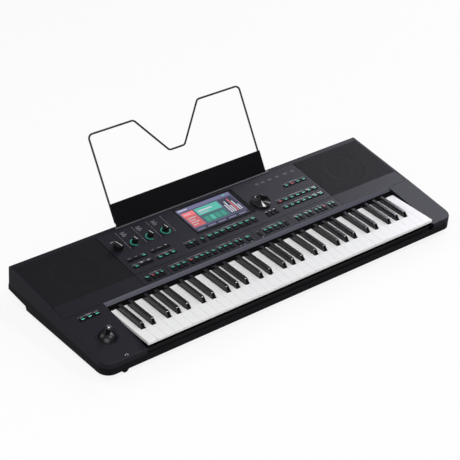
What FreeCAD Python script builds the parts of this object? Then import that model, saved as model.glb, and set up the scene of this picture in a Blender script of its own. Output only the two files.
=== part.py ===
import FreeCAD, Part
import Sketcher
import math
import os
from types import SimpleNamespace

Vector = FreeCAD.Vector
NEAR = 1e-3

# Driving dimensions, in millimetres and degrees.
# Depths run back from the front of the case, heights run up from its underside.
# On the panel and the cheeks, depths run back along the slope from the shoulder line.
SIZES = {
    # Case
    "left_cheek": 108.3,
    "right_cheek": 68.3,
    "rear_shelf": 13.9,
    "shoulder_depth": 158.5,
    "shoulder_height": 51.7,
    "panel_slope": 7.0,
    "cheek_slope": 8.0,
    "corner_radius": 27.0,
    "edge_radius": 2.5,
    "wall": 3.0,
    "parting_front": 17.0,
    "parting_rear": 30.0,
    "tail_length": 70.0,
    "tail_run": 4.0,
    "tail_step": 9.0,
    "tail_rise": 7.0,
    "clearance": 0.3,
    "overrun": 6.0,
    "boss_radius": 4.0,
    # Bevel along the front of the panel
    "bevel_run": 8.5,
    "bevel_drop": 6.5,
    "bevel_lip": 2.0,
    # Feet and case screws
    "foot_height": 14.0,
    "foot_radius": 11.0,
    "foot_front": 45.0,
    "foot_tail_gap": 26.0,
    "foot_inset": 85.5,
    "screw_head_radius": 3.5,
    "screw_head_height": 2.2,
    "screw_shank_radius": 1.5,
    "screw_length": 22.0,
    "screw_boss_height": 12.0,
    "screw_front": 30.0,
    "screw_shoulder_gap": 8.5,
    "screw_tail_gap": 10.0,
    "screw_inset": 9.0,
    # Keys
    "white_pitch": 23.5,
    "white_gap": 0.6,
    "key_front": 4.0,
    "cover_gap": 0.4,
    "key_skirt": 7.5,
    "key_shell": 2.2,
    "key_side_gap": 4.2,
    "cover_reach": 13.0,
    "key_travel": 10.0,
    "key_heel": 9.0,
    "fulcrum_reach": 53.5,
    "black_width": 11.0,
    "black_top_width": 8.6,
    "black_height": 11.0,
    "black_setback": 45.0,
    "black_rake": 8.0,
    "black_gap": 1.0,
    # Key frame, felts and contacts
    "frame_floor": 3.0,
    "stop_front": 10.0,
    "stop_depth": 16.0,
    "stop_felt": 3.0,
    "ridge_width": 2.0,
    "ridge_foot": 26.0,
    "cover_felt": 1.0,
    "contact_front": 96.0,
    "contact_depth": 38.0,
    "contact_rail": 4.0,
    "board_thickness": 1.6,
    "dome_height": 5.0,
    "dome_base": 14.0,
    "dome_top": 8.0,
    # Control panel
    "panel_width": 590.0,
    "panel_shift": 2.0,
    "panel_front": 2.0,
    "panel_ledge": 3.0,
    "ledge_thickness": 2.0,
    "groove_width": 0.9,
    "groove_depth": 0.6,
    "post_side": 4.5,
    # Buttons
    "button_rise": 1.8,
    "button_travel": 0.8,
    "button_flange": 1.0,
    "flange_thickness": 1.2,
    "wide_gap": 3.4,
    "square_gap": 4.4,
    "upright_gap": 4.6,
    "slim_gap": 4.2,
    "wide_depth": 7.2,
    "upright_depth": 14.5,
    "strip_row": 15.4,
    "strip_gap": 25.3,
    "front_gap": 21.3,
    "row_pitch": 23.2,
    "top_gap": 63.8,
    "cheek_row": 20.5,
    "switch_side": 4.5,
    "switch_height": 0.8,
    # Display
    "display_gap": 15.25,
    "display_margin": 4.5,
    "glass_depth": 98.0,
    "glass_sink": 0.3,
    "module_margin": 1.0,
    "module_thickness": 8.0,
    # Knobs, rings and dial
    "knob_gap": 70.5,
    "volume_radius": 12.5,
    "volume_height": 14.0,
    "knob_radius": 7.8,
    "knob_height": 13.0,
    "knob_lift": 0.4,
    "knob_taper": 0.8,
    "knob_edge": 0.9,
    "shaft_radius": 3.0,
    "shaft_hole_radius": 3.4,
    "pot_side": 12.0,
    "ring_inner_radius": 9.6,
    "ring_outer_radius": 11.8,
    "ring_thickness": 0.8,
    "dial_gap": 43.5,
    "dial_radius": 24.5,
    "dial_height": 6.0,
    "dial_dish": 1.6,
    "dial_edge": 2.2,
    "dimple_radius": 6.0,
    "dimple_offset": 14.5,
    "dimple_depth": 1.6,
    # Joystick
    "stick_row": 84.0,
    "bowl_rim": 1.7,
    "bowl_lip": 1.2,
    "mouth_angle": 58.6,
    "mouth_gap": 0.43,
    "mouth_edge": 1.0,
    "cup_gap": 0.5,
    "cup_wall": 1.8,
    "cup_depth": 26.0,
    "dome_radius": 23.0,
    "dome_wall": 1.5,
    "dome_drop": 19.0,
    "dome_angle": 69.0,
    "stick_radius": 4.6,
    "stick_height": 25.0,
    "shank_side": 7.0,
    "gimbal_outer": 28.0,
    "gimbal_inner": 20.0,
    "gimbal_height": 6.0,
    "pivot_radius": 1.8,
    "pivot_fit": 0.05,
    # Speakers and grilles
    "rim": 8.0,
    "seam": 1.5,
    "grille_thickness": 1.5,
    "speaker_radius": 54.0,
    "speaker_flange": 64.0,
    "flange_plate": 2.5,
    "cone_radius": 48.0,
    "cone_neck": 14.0,
    "cone_depth": 16.0,
    "cone_wall": 1.2,
    "cone_travel": 2.0,
    "cap_rise": 4.7,
    "basket_wall": 2.0,
    "magnet_radius": 30.0,
    "magnet_height": 12.0,
    # Music rest
    "rest_centre": 9.4,
    "rest_width": 446.0,
    "rest_inset": 7.5,
    "rest_rise": 3.2,
    "rest_lean": 32.6,
    "rest_sheet": 2.0,
    "rest_plate": 52.5,
    "rest_height": 218.0,
    "rest_tongue": 13.0,
    "wire_radius": 2.3,
    "wire_bend": 11.0,
    "wire_foot": 8.0,
    "trim_width": 8.0,
    "trim_lip": 1.6,
    "trim_height": 2.0,
    "trim_run": 8.0,
    # Boards and sockets
    "main_board_width": 260.0,
    "main_board_gap": 15.0,
    "main_board_depth": 40.0,
    "main_board_lift": 12.0,
    "chip_side": 22.0,
    "chip_height": 2.4,
    "socket_height": 44.0,
    "socket_plate": 2.5,
    "socket_margin": 10.5,
    "socket_lip": 3.0,
    "jack_pitch": 34.0,
    "jack_place": 70.0,
    "jack_bore_radius": 3.25,
    "jack_bush_radius": 5.6,
    "jack_body": 14.0,
    "jack_length": 30.0,
    "usb_place": 70.0,
    "usb_pitch": 40.0,
    "usb_width": 13.0,
    "usb_slot": 5.2,
    "usb_shell": 1.5,
    "usb_length": 16.0,
    "inlet_place": 300.0,
    "inlet_bore_radius": 2.75,
    "inlet_bore_depth": 10.0,
    "power_place": 345.0,
    "power_side": 10.0,
    "power_rise": 2.0,
    "power_travel": 1.5,
    "phones_end": 54.5,
    "phones_width": 17.0,
    "phones_drop": 9.0,
    "phones_length": 34.0,
    "phones_edge": 5.0,
    "phones_inset": 3.0,
}

# Where each group of buttons stands: its row, then runs of
# (share of the panel's width from its left edge, count, kind of button).
BUTTON_GROUPS = {
    "fade_buttons": ("strip", [(0.0322, 1, "upright"), (0.0588, 3, "slim")]),
    "style_buttons": ("strip", [
        (0.1529, 3, "upright"), (0.2398, 4, "upright"), (0.3498, 1, "upright"),
        (0.3808, 3, "upright"), (0.4636, 2, "slim"), (0.5197, 1, "square")]),
    "song_buttons": ("strip", [(0.5764, 1, "slim"), (0.6100, 4, "upright"), (0.7153, 1, "slim")]),
    "part_buttons": ("strip", [
        (0.7763, 2, "slim"), (0.8280, 2, "slim"), (0.8802, 3, "slim"), (0.9524, 2, "slim")]),
    "screen_buttons": ("front", [(0.2817, 3, "slim"), (0.3559, 1, "slim"), (0.3949, 8, "square")]),
    "value_buttons": ("front", [(0.6870, 3, "slim")]),
    "mode_buttons": ("top", [(0.8763, 4, "wide")]),
}
# Groups of two like rows: (share, count).
PAIRED_GROUPS = {
    "setup_buttons": (0.0373, 3),
    "memory_buttons": (0.1475, 3),
    "voice_buttons": (0.7831, 7),
}
PANEL_POST_SHARES = (0.010, 0.130, 0.330, 0.565, 0.750, 0.985)
STRIP_DIVIDER_SHARES = (0.126, 0.550, 0.744)
REST_NOTCH_TOP_SHARE = 0.42
REST_NOTCH_FOOT_SHARE = 0.10
REST_NOTCH_DEPTH_SHARE = 0.57
CHIP_SHARES = (0.2, 0.5, 0.75)
# Pitches and places across the panel, as shares of its width.
WIDE_PITCH_SHARE = 0.031186
UPRIGHT_PITCH_SHARE = 0.026441
SLIM_PITCH_SHARE = 0.021017
GLASS_WIDTH_SHARE = 0.3
DISPLAY_SHARE = 0.50746
VOLUME_SHARE = 0.03814
KNOB_SHARE = 0.11695
KNOB_PITCH_SHARE = 0.07288
DIAL_SHARE = 0.70949
# Place of the joystick and its buttons, as a share of the left cheek's width.
STICK_SHARE = 0.554

WHITES_PER_OCTAVE = 7
OCTAVES = 5
KNOB_COUNT = 3
JACK_COUNT = 5
USB_COUNT = 2
NATURALS = "CDEFGAB"
BLACK_RUNS = {"C": 3, "F": 4}

doc = FreeCAD.newDocument("ArrangerKeyboard")
sheet = doc.addObject("Spreadsheet::Sheet", "Sizes")
for row, (alias, value) in enumerate(SIZES.items(), 1):
    sheet.set(f"A{row}", alias)
    sheet.set(f"B{row}", str(value))
    sheet.setAlias(f"B{row}", alias)
doc.recompute()


class Size:
    """A length or angle, kept with the sheet expression that gives it."""

    def __init__(self, value, text):
        self.value = value
        self.text = text

    def __add__(self, other):
        other = as_size(other)
        return Size(self.value + other.value, f"({self.text} + {other.text})")

    def __radd__(self, other):
        return as_size(other) + self

    def __sub__(self, other):
        other = as_size(other)
        return Size(self.value - other.value, f"({self.text} - {other.text})")

    def __rsub__(self, other):
        return as_size(other) - self

    def __mul__(self, other):
        other = as_size(other)
        return Size(self.value * other.value, f"({self.text} * {other.text})")

    def __rmul__(self, other):
        return as_size(other) * self

    def __truediv__(self, other):
        other = as_size(other)
        return Size(self.value / other.value, f"({self.text} / {other.text})")

    def __neg__(self):
        return Size(-self.value, f"(0 - {self.text})")


def as_size(value):
    return value if isinstance(value, Size) else Size(float(value), repr(float(value)))


def sine(angle):
    return Size(math.sin(math.radians(angle.value)), f"sin({angle.text} * 1 deg)")


def cosine(angle):
    return Size(math.cos(math.radians(angle.value)), f"cos({angle.text} * 1 deg)")


def tangent(angle):
    return Size(math.tan(math.radians(angle.value)), f"tan({angle.text} * 1 deg)")


s = SimpleNamespace(**{
    alias: Size(float(sheet.get(alias)), f"Sizes.{alias}") for alias in SIZES})


class Frame:
    """A place on the instrument whose own Y may slope up to the rear."""

    def __init__(self, depth, height, slope=None):
        self.depth = as_size(depth)
        self.height = as_size(height)
        self.slope = slope

    def point(self, x, y, z):
        if self.slope is None:
            return as_size(x), self.depth + y, self.height + z
        along = cosine(self.slope)
        up = sine(self.slope)
        return as_size(x), self.depth + y * along - z * up, self.height + y * up + z * along


case = Frame(-s.foot_front, s.foot_height)
panel = Frame(s.shoulder_depth - s.foot_front, s.foot_height + s.shoulder_height, s.panel_slope)
cheek = Frame(s.shoulder_depth - s.foot_front, s.foot_height + s.shoulder_height, s.cheek_slope)

# Places worked out from the driving dimensions.
strip_depth = s.strip_row + s.strip_gap
front_row = strip_depth + s.front_gap
display_row = front_row + s.upright_depth / 2 + s.display_gap + s.glass_depth / 2
panel_rear = display_row + s.glass_depth / 2 + s.display_margin
knob_row = front_row + s.knob_gap
dial_row = front_row + s.dial_gap
row_depths = {"strip": s.strip_row, "front": front_row, "back": front_row + s.row_pitch,
              "top": front_row + s.top_gap}
case_depth = s.shoulder_depth + panel_rear * cosine(s.panel_slope) + s.rear_shelf
front_height = s.shoulder_height - s.shoulder_depth * tangent(s.cheek_slope)
rear_height = s.shoulder_height + (case_depth - s.shoulder_depth) * tangent(s.panel_slope)
tail_start = case_depth - s.tail_length
white_count = WHITES_PER_OCTAVE * OCTAVES + 1
keys_width = s.white_pitch * white_count
case_width = s.left_cheek + s.right_cheek + keys_width + s.key_side_gap * 2
half_width = case_width / 2
opening_left = s.left_cheek - half_width
opening_right = half_width - s.right_cheek
key_left = opening_left + s.key_side_gap
key_right = opening_right - s.key_side_gap
bevel_depth = s.shoulder_depth - s.bevel_run
bevel_height = s.shoulder_height - s.bevel_drop
passage_top = bevel_height - s.bevel_lip
key_cover = bevel_depth - s.cover_reach
key_top = passage_top - s.cover_felt - s.cover_gap
key_bottom = key_top - s.key_skirt
fulcrum_depth = s.shoulder_depth + s.fulcrum_reach
key_end = fulcrum_depth + s.key_heel
notch_depth = s.key_front + s.black_setback - s.black_gap
panel_left = s.panel_width / 2 - s.panel_shift
panel_right = s.panel_width / 2 + s.panel_shift
pitches = {"wide": s.panel_width * WIDE_PITCH_SHARE, "square": s.panel_width * WIDE_PITCH_SHARE,
           "upright": s.panel_width * UPRIGHT_PITCH_SHARE, "slim": s.panel_width * SLIM_PITCH_SHARE}
wide_width = pitches["wide"] - s.wide_gap
glass_width = s.panel_width * GLASS_WIDTH_SHARE
display_centre = s.panel_width * DISPLAY_SHARE - panel_left
grille_depth = panel_rear - strip_depth
speaker_row = strip_depth + grille_depth / 2
speaker_place = (half_width - s.rim + panel_right) / 2
flange_top = s.wall + s.clearance / 2
switch_top = flange_top + s.flange_thickness + s.button_travel + s.clearance
board_top = switch_top + s.switch_height
stick_place = half_width - s.left_cheek * STICK_SHARE
stick_depth = s.dome_drop
cup_inner = s.dome_radius + s.cup_gap
cup_radius = cup_inner + s.cup_wall
phones_place = half_width - s.phones_end
rest_base = case_depth - s.rest_inset

nodes = []


def bind(item, prop, size):
    item.setExpression(prop, as_size(size).text)


def place(item, frame, x, y, z):
    if frame.slope is not None:
        item.Placement.Rotation = FreeCAD.Rotation(Vector(1, 0, 0), 1)
        bind(item, "Placement.Rotation.Angle", frame.slope)
    for axis, size in zip("xyz", frame.point(x, y, z)):
        bind(item, f"Placement.Base.{axis}", size)
    return item


def box(name, low, high, frame=case):
    item = doc.addObject("Part::Box", name)
    for prop, start, end in zip(("Length", "Width", "Height"), low, high):
        bind(item, prop, as_size(end) - start)
    return place(item, frame, *low)


def cylinder(name, centre, radius, height, frame=case):
    item = doc.addObject("Part::Cylinder", name)
    bind(item, "Radius", radius)
    bind(item, "Height", height)
    return place(item, frame, *centre)


def bar_along_depth(name, centre, radius, length):
    """A cylinder that runs towards the rear from its centre point."""
    item = doc.addObject("Part::Cylinder", name)
    bind(item, "Radius", radius)
    bind(item, "Height", length)
    item.Placement.Rotation = FreeCAD.Rotation(Vector(-1, 0, 0), 90)
    for axis, size in zip("xyz", case.point(*centre)):
        bind(item, f"Placement.Base.{axis}", size)
    return item


def group(name, items):
    item = doc.addObject("Part::Compound", name)
    item.Links = items
    return item


def fuse(name, *items):
    item = doc.addObject("Part::MultiFuse", name)
    item.Shapes = items
    item.Refine = True
    return item


def cut(name, base, *tools):
    item = doc.addObject("Part::Cut", name)
    item.Base = base
    item.Tool = tools[0] if len(tools) == 1 else group(name + "_tools", tools)
    return item


def keep(name, item):
    """Name a finished sub-part, which is then written to its own file."""
    item.Label = name
    nodes.append((name, item))
    return item


def outline_body(name, plane, points):
    """A body with a closed sketch through the points, each held by the sheet."""
    body = doc.addObject("PartDesign::Body", name)
    sketch = body.newObject("Sketcher::SketchObject", name + "_outline")
    origin_plane = next(f for f in body.Origin.OriginFeatures if f.Role == plane)
    sketch.AttachmentSupport = [(origin_plane, "")]
    sketch.MapMode = "FlatFace"
    points = [(as_size(u), as_size(v)) for u, v in points]
    corners = [Vector(u.value, v.value, 0) for u, v in points]
    count = len(corners)
    for index in range(int(count)):
        sketch.addGeometry(Part.LineSegment(corners[index], corners[(index + 1) % count]))
    for index in range(int(count)):
        sketch.addConstraint(Sketcher.Constraint("Coincident", index, 2, (index + 1) % count, 1))
    for index, pair in enumerate(points):
        for kind, size in zip(("DistanceX", "DistanceY"), pair):
            held = sketch.addConstraint(Sketcher.Constraint(kind, -1, 1, index, 1, size.value))
            bind(sketch, f"Constraints[{held}]", size)
    return body, sketch


def prism(name, points, left, right):
    """A side outline in depth and height, carried across from left to right."""
    placed = [case.point(0, depth, height)[1:] for depth, height in points]
    body, sketch = outline_body(name, "YZ_Plane", placed)
    bind(sketch, "AttachmentOffset.Base.z", left)
    pad = body.newObject("PartDesign::Pad", name + "_pad")
    pad.Profile = sketch
    bind(pad, "Length", as_size(right) - left)
    doc.recompute()
    return body


def bar(name, points, front, rear):
    """A front outline in width and height, carried from front to rear."""
    placed = [(as_size(x), case.point(0, 0, height)[2]) for x, height in points]
    body, sketch = outline_body(name, "XZ_Plane", placed)
    bind(sketch, "AttachmentOffset.Base.z", -case.point(0, front, 0)[1])
    pad = body.newObject("PartDesign::Pad", name + "_pad")
    pad.Profile = sketch
    pad.Reversed = True
    bind(pad, "Length", as_size(rear) - front)
    doc.recompute()
    return body


def revolve(name, points, frame, x, y, z=0):
    """A half outline in radius and height, turned about its own upright axis."""
    body, sketch = outline_body(name, "XZ_Plane", points)
    turn = body.newObject("PartDesign::Revolution", name + "_turn")
    turn.Profile = sketch
    turn.ReferenceAxis = (sketch, ["V_Axis"])
    turn.Angle = 360
    place(body, frame, x, y, z)
    return body


def is_upright(edge):
    low, high = edge.Vertexes[0].Point, edge.Vertexes[-1].Point
    return math.hypot(high.x - low.x, high.y - low.y) < NEAR


def round_edges(body, chosen, radius, name):
    base = body.Tip
    names = [f"Edge{index}" for index, edge in enumerate(base.Shape.Edges, 1) if chosen(edge)]
    fillet = body.newObject("PartDesign::Fillet", name)
    fillet.Base = (base, names)
    bind(fillet, "Radius", radius)
    doc.recompute()
    return body


def round_front_corners(body, radius, sides=(-1, 1)):
    front = body.Tip.Shape.BoundBox.YMin

    def chosen(edge):
        middle = edge.CenterOfMass
        return is_upright(edge) and abs(middle.y - front) < NEAR and math.copysign(1, middle.x) in sides

    return round_edges(body, chosen, radius, body.Name + "_corners")


def panel_x(share):
    return s.panel_width * share - panel_left


def panel_under(depth):
    rise = (depth - s.shoulder_depth) * tangent(s.panel_slope)
    return s.shoulder_height + rise - s.wall / cosine(s.panel_slope)


def cheek_under(depth):
    fall = (s.shoulder_depth - depth) * tangent(s.cheek_slope)
    return s.shoulder_height - fall - s.wall / cosine(s.cheek_slope)


def button_size(kind):
    depth = s.wide_depth if kind == "wide" else s.upright_depth
    return pitches[kind] - getattr(s, kind + "_gap"), depth


def button_places():
    """Every button: its group, frame, kind and centre."""
    places = []
    for name, (row, runs) in BUTTON_GROUPS.items():
        for share, count, kind in runs:
            for index in range(int(count)):
                x = panel_x(share) + pitches[kind] * index
                places.append((name, panel, kind, x, row_depths[row]))
    for name, (share, count) in PAIRED_GROUPS.items():
        for row in ("front", "back"):
            for index in range(int(count)):
                x = panel_x(share) + pitches["wide"] * index
                places.append((name, panel, "wide", x, row_depths[row]))
    for index in (-1, 0, 1):
        x = pitches["wide"] * index - stick_place
        places.append(("cheek_buttons", cheek, "wide", x, -s.cheek_row))
    return places


def button_hole(name, frame, kind, x, y):
    width, depth = button_size(kind)
    across = width / 2 + s.clearance
    along = depth / 2 + s.clearance
    low = (x - across, y - along, -(s.wall + s.overrun))
    return box(name, low, (x + across, y + along, s.overrun), frame)


def button(name, frame, kind, x, y):
    """A cap that stands through its hole, with a flange that holds it under the panel."""
    width, depth = button_size(kind)
    across = width / 2
    along = depth / 2
    edge = s.button_flange
    low = -(flange_top + s.flange_thickness)
    cap = box(name + "_cap", (x - across, y - along, low),
              (x + across, y + along, s.button_rise), frame)
    flange = box(name + "_flange", (x - across - edge, y - along - edge, low),
                 (x + across + edge, y + along + edge, -flange_top), frame)
    return fuse(name, cap, flange)


def switch(name, frame, x, y):
    half = s.switch_side / 2
    return box(name, (x - half, y - half, -board_top), (x + half, y + half, -switch_top), frame)


def make_lower_case():
    blank = prism("lower_blank", [
        (0, 0), (tail_start, 0), (tail_start + s.tail_run, s.tail_step),
        (case_depth, s.tail_step + s.tail_rise), (case_depth, s.parting_rear),
        (0, s.parting_front)], -half_width, half_width)
    round_front_corners(blank, s.corner_radius)
    hollow = prism("lower_hollow", [
        (s.wall, s.wall), (tail_start - s.wall, s.wall),
        (tail_start + s.tail_run - s.wall, s.tail_step + s.wall),
        (case_depth - s.wall, s.tail_step + s.tail_rise + s.wall),
        (case_depth - s.wall, s.parting_rear + s.overrun),
        (s.wall, s.parting_front + s.overrun)], s.wall - half_width, half_width - s.wall)
    round_front_corners(hollow, s.corner_radius - s.wall)
    tray = cut("lower_tray", blank, hollow)
    bosses = []
    for side in (-1, 1):
        for share in (0, 1):
            depth = main_board_front() + s.boss_radius + (s.main_board_depth - s.boss_radius * 2) * share
            x = (s.main_board_width / 2 - s.boss_radius) * side
            bosses.append(cylinder("board_boss", (x, depth, s.wall), s.boss_radius,
                                   s.main_board_lift - s.wall))
    screw_bosses = [cylinder("screw_boss", (x, depth, s.wall), s.boss_radius, s.screw_boss_height)
                    for x, depth, under in screw_places()]
    sinks = [cylinder("screw_sink", (x, depth, -s.overrun), s.screw_head_radius + s.clearance,
                      s.screw_head_height + s.overrun) for x, depth, under in screw_places()]
    body = fuse("lower_body", tray, *bosses, *screw_bosses)
    bored = cut("lower_bored", body, *screw_holes())
    keep("lower_case", cut("lower_case_shell", bored, *sinks))


def screw_places():
    """Where each case screw stands, and the height of the shell that it reaches up to."""
    middle = s.shoulder_depth - s.screw_shoulder_gap
    rear = tail_start - s.screw_tail_gap
    rows = ((s.screw_front, cheek_under(s.screw_front)), (middle, cheek_under(middle)),
            (rear, panel_under(rear)))
    return [((half_width - s.screw_inset) * side, depth, under) for side in (-1, 1) for depth, under in rows]


def screw_holes():
    return [cylinder("screw_hole", (x, depth, -s.overrun), s.screw_shank_radius + s.clearance,
                     s.screw_length + s.overrun + s.clearance) for x, depth, under in screw_places()]


def upper_bosses():
    """Posts under the cheeks and the panel that take the case screws."""
    base = s.wall + s.screw_boss_height
    return [cylinder("upper_boss", (x, depth, base), s.boss_radius, under + s.wall / 2 - base)
            for x, depth, under in screw_places()]


def cheek_posts():
    """Posts under the left cheek that carry the board of its buttons."""
    half = s.post_side / 2
    reach = s.wide_depth + half
    return [box("cheek_post", (-stick_place - half, reach * side - s.cheek_row - half, -board_top),
                (half - stick_place, reach * side - s.cheek_row + half, -s.wall / 2), cheek)
            for side in (-1, 1)]


def seam_grooves():
    """Shallow seams beside the rims and along the shoulder of both cheeks."""
    edge = s.groove_width / 2
    low = -s.groove_depth
    rear = (case_depth - s.shoulder_depth) / cosine(s.panel_slope) + s.overrun
    rim = half_width - s.rim
    grooves = []
    for side in (-1, 1):
        x = rim * side
        grooves.append(box("rim_groove", (x - edge, 0, low), (x + edge, rear, s.overrun), panel))
    for left, right in ((-rim, opening_left - s.overrun), (opening_right + s.overrun, rim)):
        grooves.append(box("shoulder_groove", (left, -edge, low), (right, edge, s.overrun), panel))
    return grooves


def make_upper_case(holes):
    blank = prism("upper_blank", [
        (0, s.parting_front), (0, front_height), (s.shoulder_depth, s.shoulder_height),
        (case_depth, rear_height), (case_depth, s.parting_rear)], -half_width, half_width)
    round_front_corners(blank, s.corner_radius)
    front_edge = case.point(0, 0, front_height)[2].value
    shoulder = panel.depth.value

    def on_top(edge):
        bounds = edge.BoundBox
        is_shoulder = bounds.YLength < NEAR and abs(bounds.YMin - shoulder) < NEAR
        return bounds.ZMin > front_edge - NEAR and not is_shoulder

    round_edges(blank, on_top, s.edge_radius, "upper_edges")
    inner_front = bevel_depth + s.wall
    hollow = prism("upper_hollow", [
        (inner_front, 0), (inner_front, bevel_height - s.bevel_lip / 2),
        (s.shoulder_depth + s.wall, panel_under(s.shoulder_depth + s.wall)),
        (case_depth - s.wall, panel_under(case_depth - s.wall)), (case_depth - s.wall, 0)],
        s.wall - half_width, half_width - s.wall)
    opening = prism("key_opening", [
        (-s.overrun, 0), (-s.overrun, s.shoulder_height + s.overrun),
        (s.shoulder_depth, s.shoulder_height + s.overrun), (s.shoulder_depth, s.shoulder_height),
        (bevel_depth, bevel_height), (bevel_depth, passage_top),
        (inner_front + s.overrun, passage_top), (inner_front + s.overrun, 0)],
        opening_left, opening_right)
    hollowed = cut("upper_hollowed", blank, hollow)
    opened = cut("upper_opened", hollowed, opening)
    for side, left, right in ((-1, s.wall - half_width, opening_left - s.wall),
                              (1, opening_right + s.wall, half_width - s.wall)):
        cavity = prism("cheek_cavity", [
            (s.wall, 0), (s.wall, cheek_under(s.wall)),
            (s.shoulder_depth, cheek_under(s.shoulder_depth)), (s.shoulder_depth, 0)], left, right)
        round_front_corners(cavity, s.corner_radius - s.wall, (side,))
        opened = cut("cheek_hollowed", opened, cavity)
    ledge_low = -(s.wall + s.ledge_thickness)
    edge = s.panel_ledge
    ledge = box("panel_ledge_plate", (-(panel_left + edge), s.panel_front - edge, ledge_low),
                (panel_right + edge, panel_rear + edge, -s.wall), panel)
    ledge_gap = box("panel_ledge_gap", (edge - panel_left, s.panel_front + edge, ledge_low - s.overrun),
                    (panel_right - edge, panel_rear - edge, s.overrun), panel)
    ring = cut("panel_ledge_ring", ledge, ledge_gap)
    framed = fuse("upper_framed", opened, ring, *upper_bosses(), *cheek_posts())
    seat = box("panel_seat", (-panel_left, s.panel_front, -s.wall),
               (panel_right, panel_rear, s.overrun), panel)
    recesses = [seat]
    for name, left, right in grille_spans():
        recesses.append(box(name + "_recess", (left, strip_depth, -s.grille_thickness),
                            (right, panel_rear, s.overrun), panel))
    seated = cut("upper_seated", framed, *recesses)
    mouths = [cylinder("speaker_mouth", (speaker_place * side, speaker_row, -(s.wall + s.overrun)),
                       s.speaker_radius, s.wall + s.overrun * 2, panel) for side in (-1, 1)]
    pierced = cut("upper_pierced", seated, *mouths, *screw_holes())
    keep("upper_case", cut("upper_case_shell", pierced, *seam_grooves(), *holes))


def grille_spans():
    return (("left_grille", s.rim - half_width, -(panel_left + s.seam)),
            ("right_grille", panel_right + s.seam, half_width - s.rim))


def make_grilles():
    sheets = []
    for name, left, right in grille_spans():
        low = (left + s.clearance, strip_depth + s.clearance, -s.grille_thickness)
        sheets.append(box(name, low, (right - s.clearance, panel_rear - s.clearance, 0), panel))
    keep("speaker_grilles", group("grille_pair", sheets))


def make_speakers():
    frames = []
    top = -s.wall
    cone_top = top - s.flange_plate
    basket_inner = s.cone_neck + s.basket_wall + s.cone_travel
    floor = cone_top - s.cone_depth - s.cone_travel * 2
    for side, name in ((-1, "left"), (1, "right")):
        frames.append(revolve(name + "_speaker_basket", [
            (s.cone_radius + s.clearance, top), (s.speaker_flange, top), (s.speaker_flange, cone_top),
            (s.speaker_radius, cone_top), (s.speaker_radius, cone_top - s.cone_travel * 2),
            (s.magnet_radius, floor - s.basket_wall),
            (s.magnet_radius, floor - s.basket_wall - s.magnet_height),
            (0, floor - s.basket_wall - s.magnet_height), (0, floor), (basket_inner, floor),
            (s.cone_radius + s.clearance, cone_top - s.cone_travel * 2)],
            panel, speaker_place * side, speaker_row))
        keep(name + "_speaker_cone", revolve(name + "_cone", [
            (s.cone_radius, cone_top + s.cone_wall), (s.cone_radius, cone_top),
            (s.cone_neck, cone_top - s.cone_depth), (0, cone_top - s.cone_depth + s.cap_rise),
            (0, cone_top - s.cone_depth + s.cap_rise + s.cone_wall),
            (s.cone_neck, cone_top - s.cone_depth + s.cone_wall)],
            panel, speaker_place * side, speaker_row))
    keep("speaker_frames", group("speaker_frame_pair", frames))


def make_control_panel(holes):
    slack = s.clearance
    plate = box("panel_plate", (slack - panel_left, s.panel_front + slack, -s.wall),
                (panel_right - slack, panel_rear - slack, 0), panel)
    half = s.post_side / 2
    posts = []
    for share in PANEL_POST_SHARES:
        x = panel_x(share)
        posts.append(box("board_post", (x - half, strip_depth - half, -board_top),
                         (x + half, strip_depth + half, -s.wall), panel))
    for x in knob_places():
        posts.append(box("knob_post", (x - half, knob_row + s.pot_side - half, -board_top),
                         (x + half, knob_row + s.pot_side + half, -s.wall), panel))
    cut_low = -s.groove_depth
    edge = s.groove_width / 2
    grooves = [box("strip_groove", (-panel_left, strip_depth - edge, cut_low),
                   (panel_right, strip_depth + edge, s.overrun), panel)]
    for share in STRIP_DIVIDER_SHARES:
        x = panel_x(share)
        grooves.append(box("divider_groove", (x - edge, s.panel_front, cut_low),
                           (x + edge, strip_depth - edge, s.overrun), panel))
    window = box("display_window", (display_centre - glass_width / 2 - slack,
                                    display_row - s.glass_depth / 2 - slack, -(s.wall + s.overrun)),
                 (display_centre + glass_width / 2 + slack,
                  display_row + s.glass_depth / 2 + slack, s.overrun), panel)
    shafts = [cylinder("shaft_hole", (x, y, -(s.wall + s.overrun)), s.shaft_hole_radius,
                       s.wall + s.overrun * 2, panel) for x, y in turning_places()]
    ring_seats = [cylinder("ring_seat", (x, knob_row, -s.ring_thickness), s.ring_outer_radius + slack,
                           s.ring_thickness + s.overrun, panel) for x in knob_places()]
    ring_cores = [cylinder("ring_core", (x, knob_row, -s.ring_thickness - s.overrun),
                           s.ring_inner_radius - slack, s.ring_thickness + s.overrun * 3, panel)
                  for x in knob_places()]
    ring_cuts = [cut("ring_groove", seat, core) for seat, core in zip(ring_seats, ring_cores)]
    grooved = cut("panel_grooved", plate, *grooves)
    pierced = cut("panel_pierced", grooved, window, *shafts, *ring_cuts, *holes)
    keep("control_panel", fuse("control_panel_plate", pierced, *posts))


def knob_places():
    return [panel_x(KNOB_SHARE + KNOB_PITCH_SHARE * index) for index in range(KNOB_COUNT)]


def turning_places():
    places = [(panel_x(VOLUME_SHARE), knob_row), (panel_x(DIAL_SHARE), dial_row)]
    return places + [(x, knob_row) for x in knob_places()]


def make_display():
    """The glass in its window; gives back the module that lies under it."""
    across = glass_width / 2
    along = s.glass_depth / 2
    x, y = display_centre, display_row
    keep("display_glass", box("glass", (x - across, y - along, -s.wall),
                              (x + across, y + along, -s.glass_sink), panel))
    edge = s.module_margin
    return box("display_module", (x - across - edge, y - along - edge, -(s.wall + s.module_thickness)),
               (x + across + edge, y + along + edge, -s.wall), panel)


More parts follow.
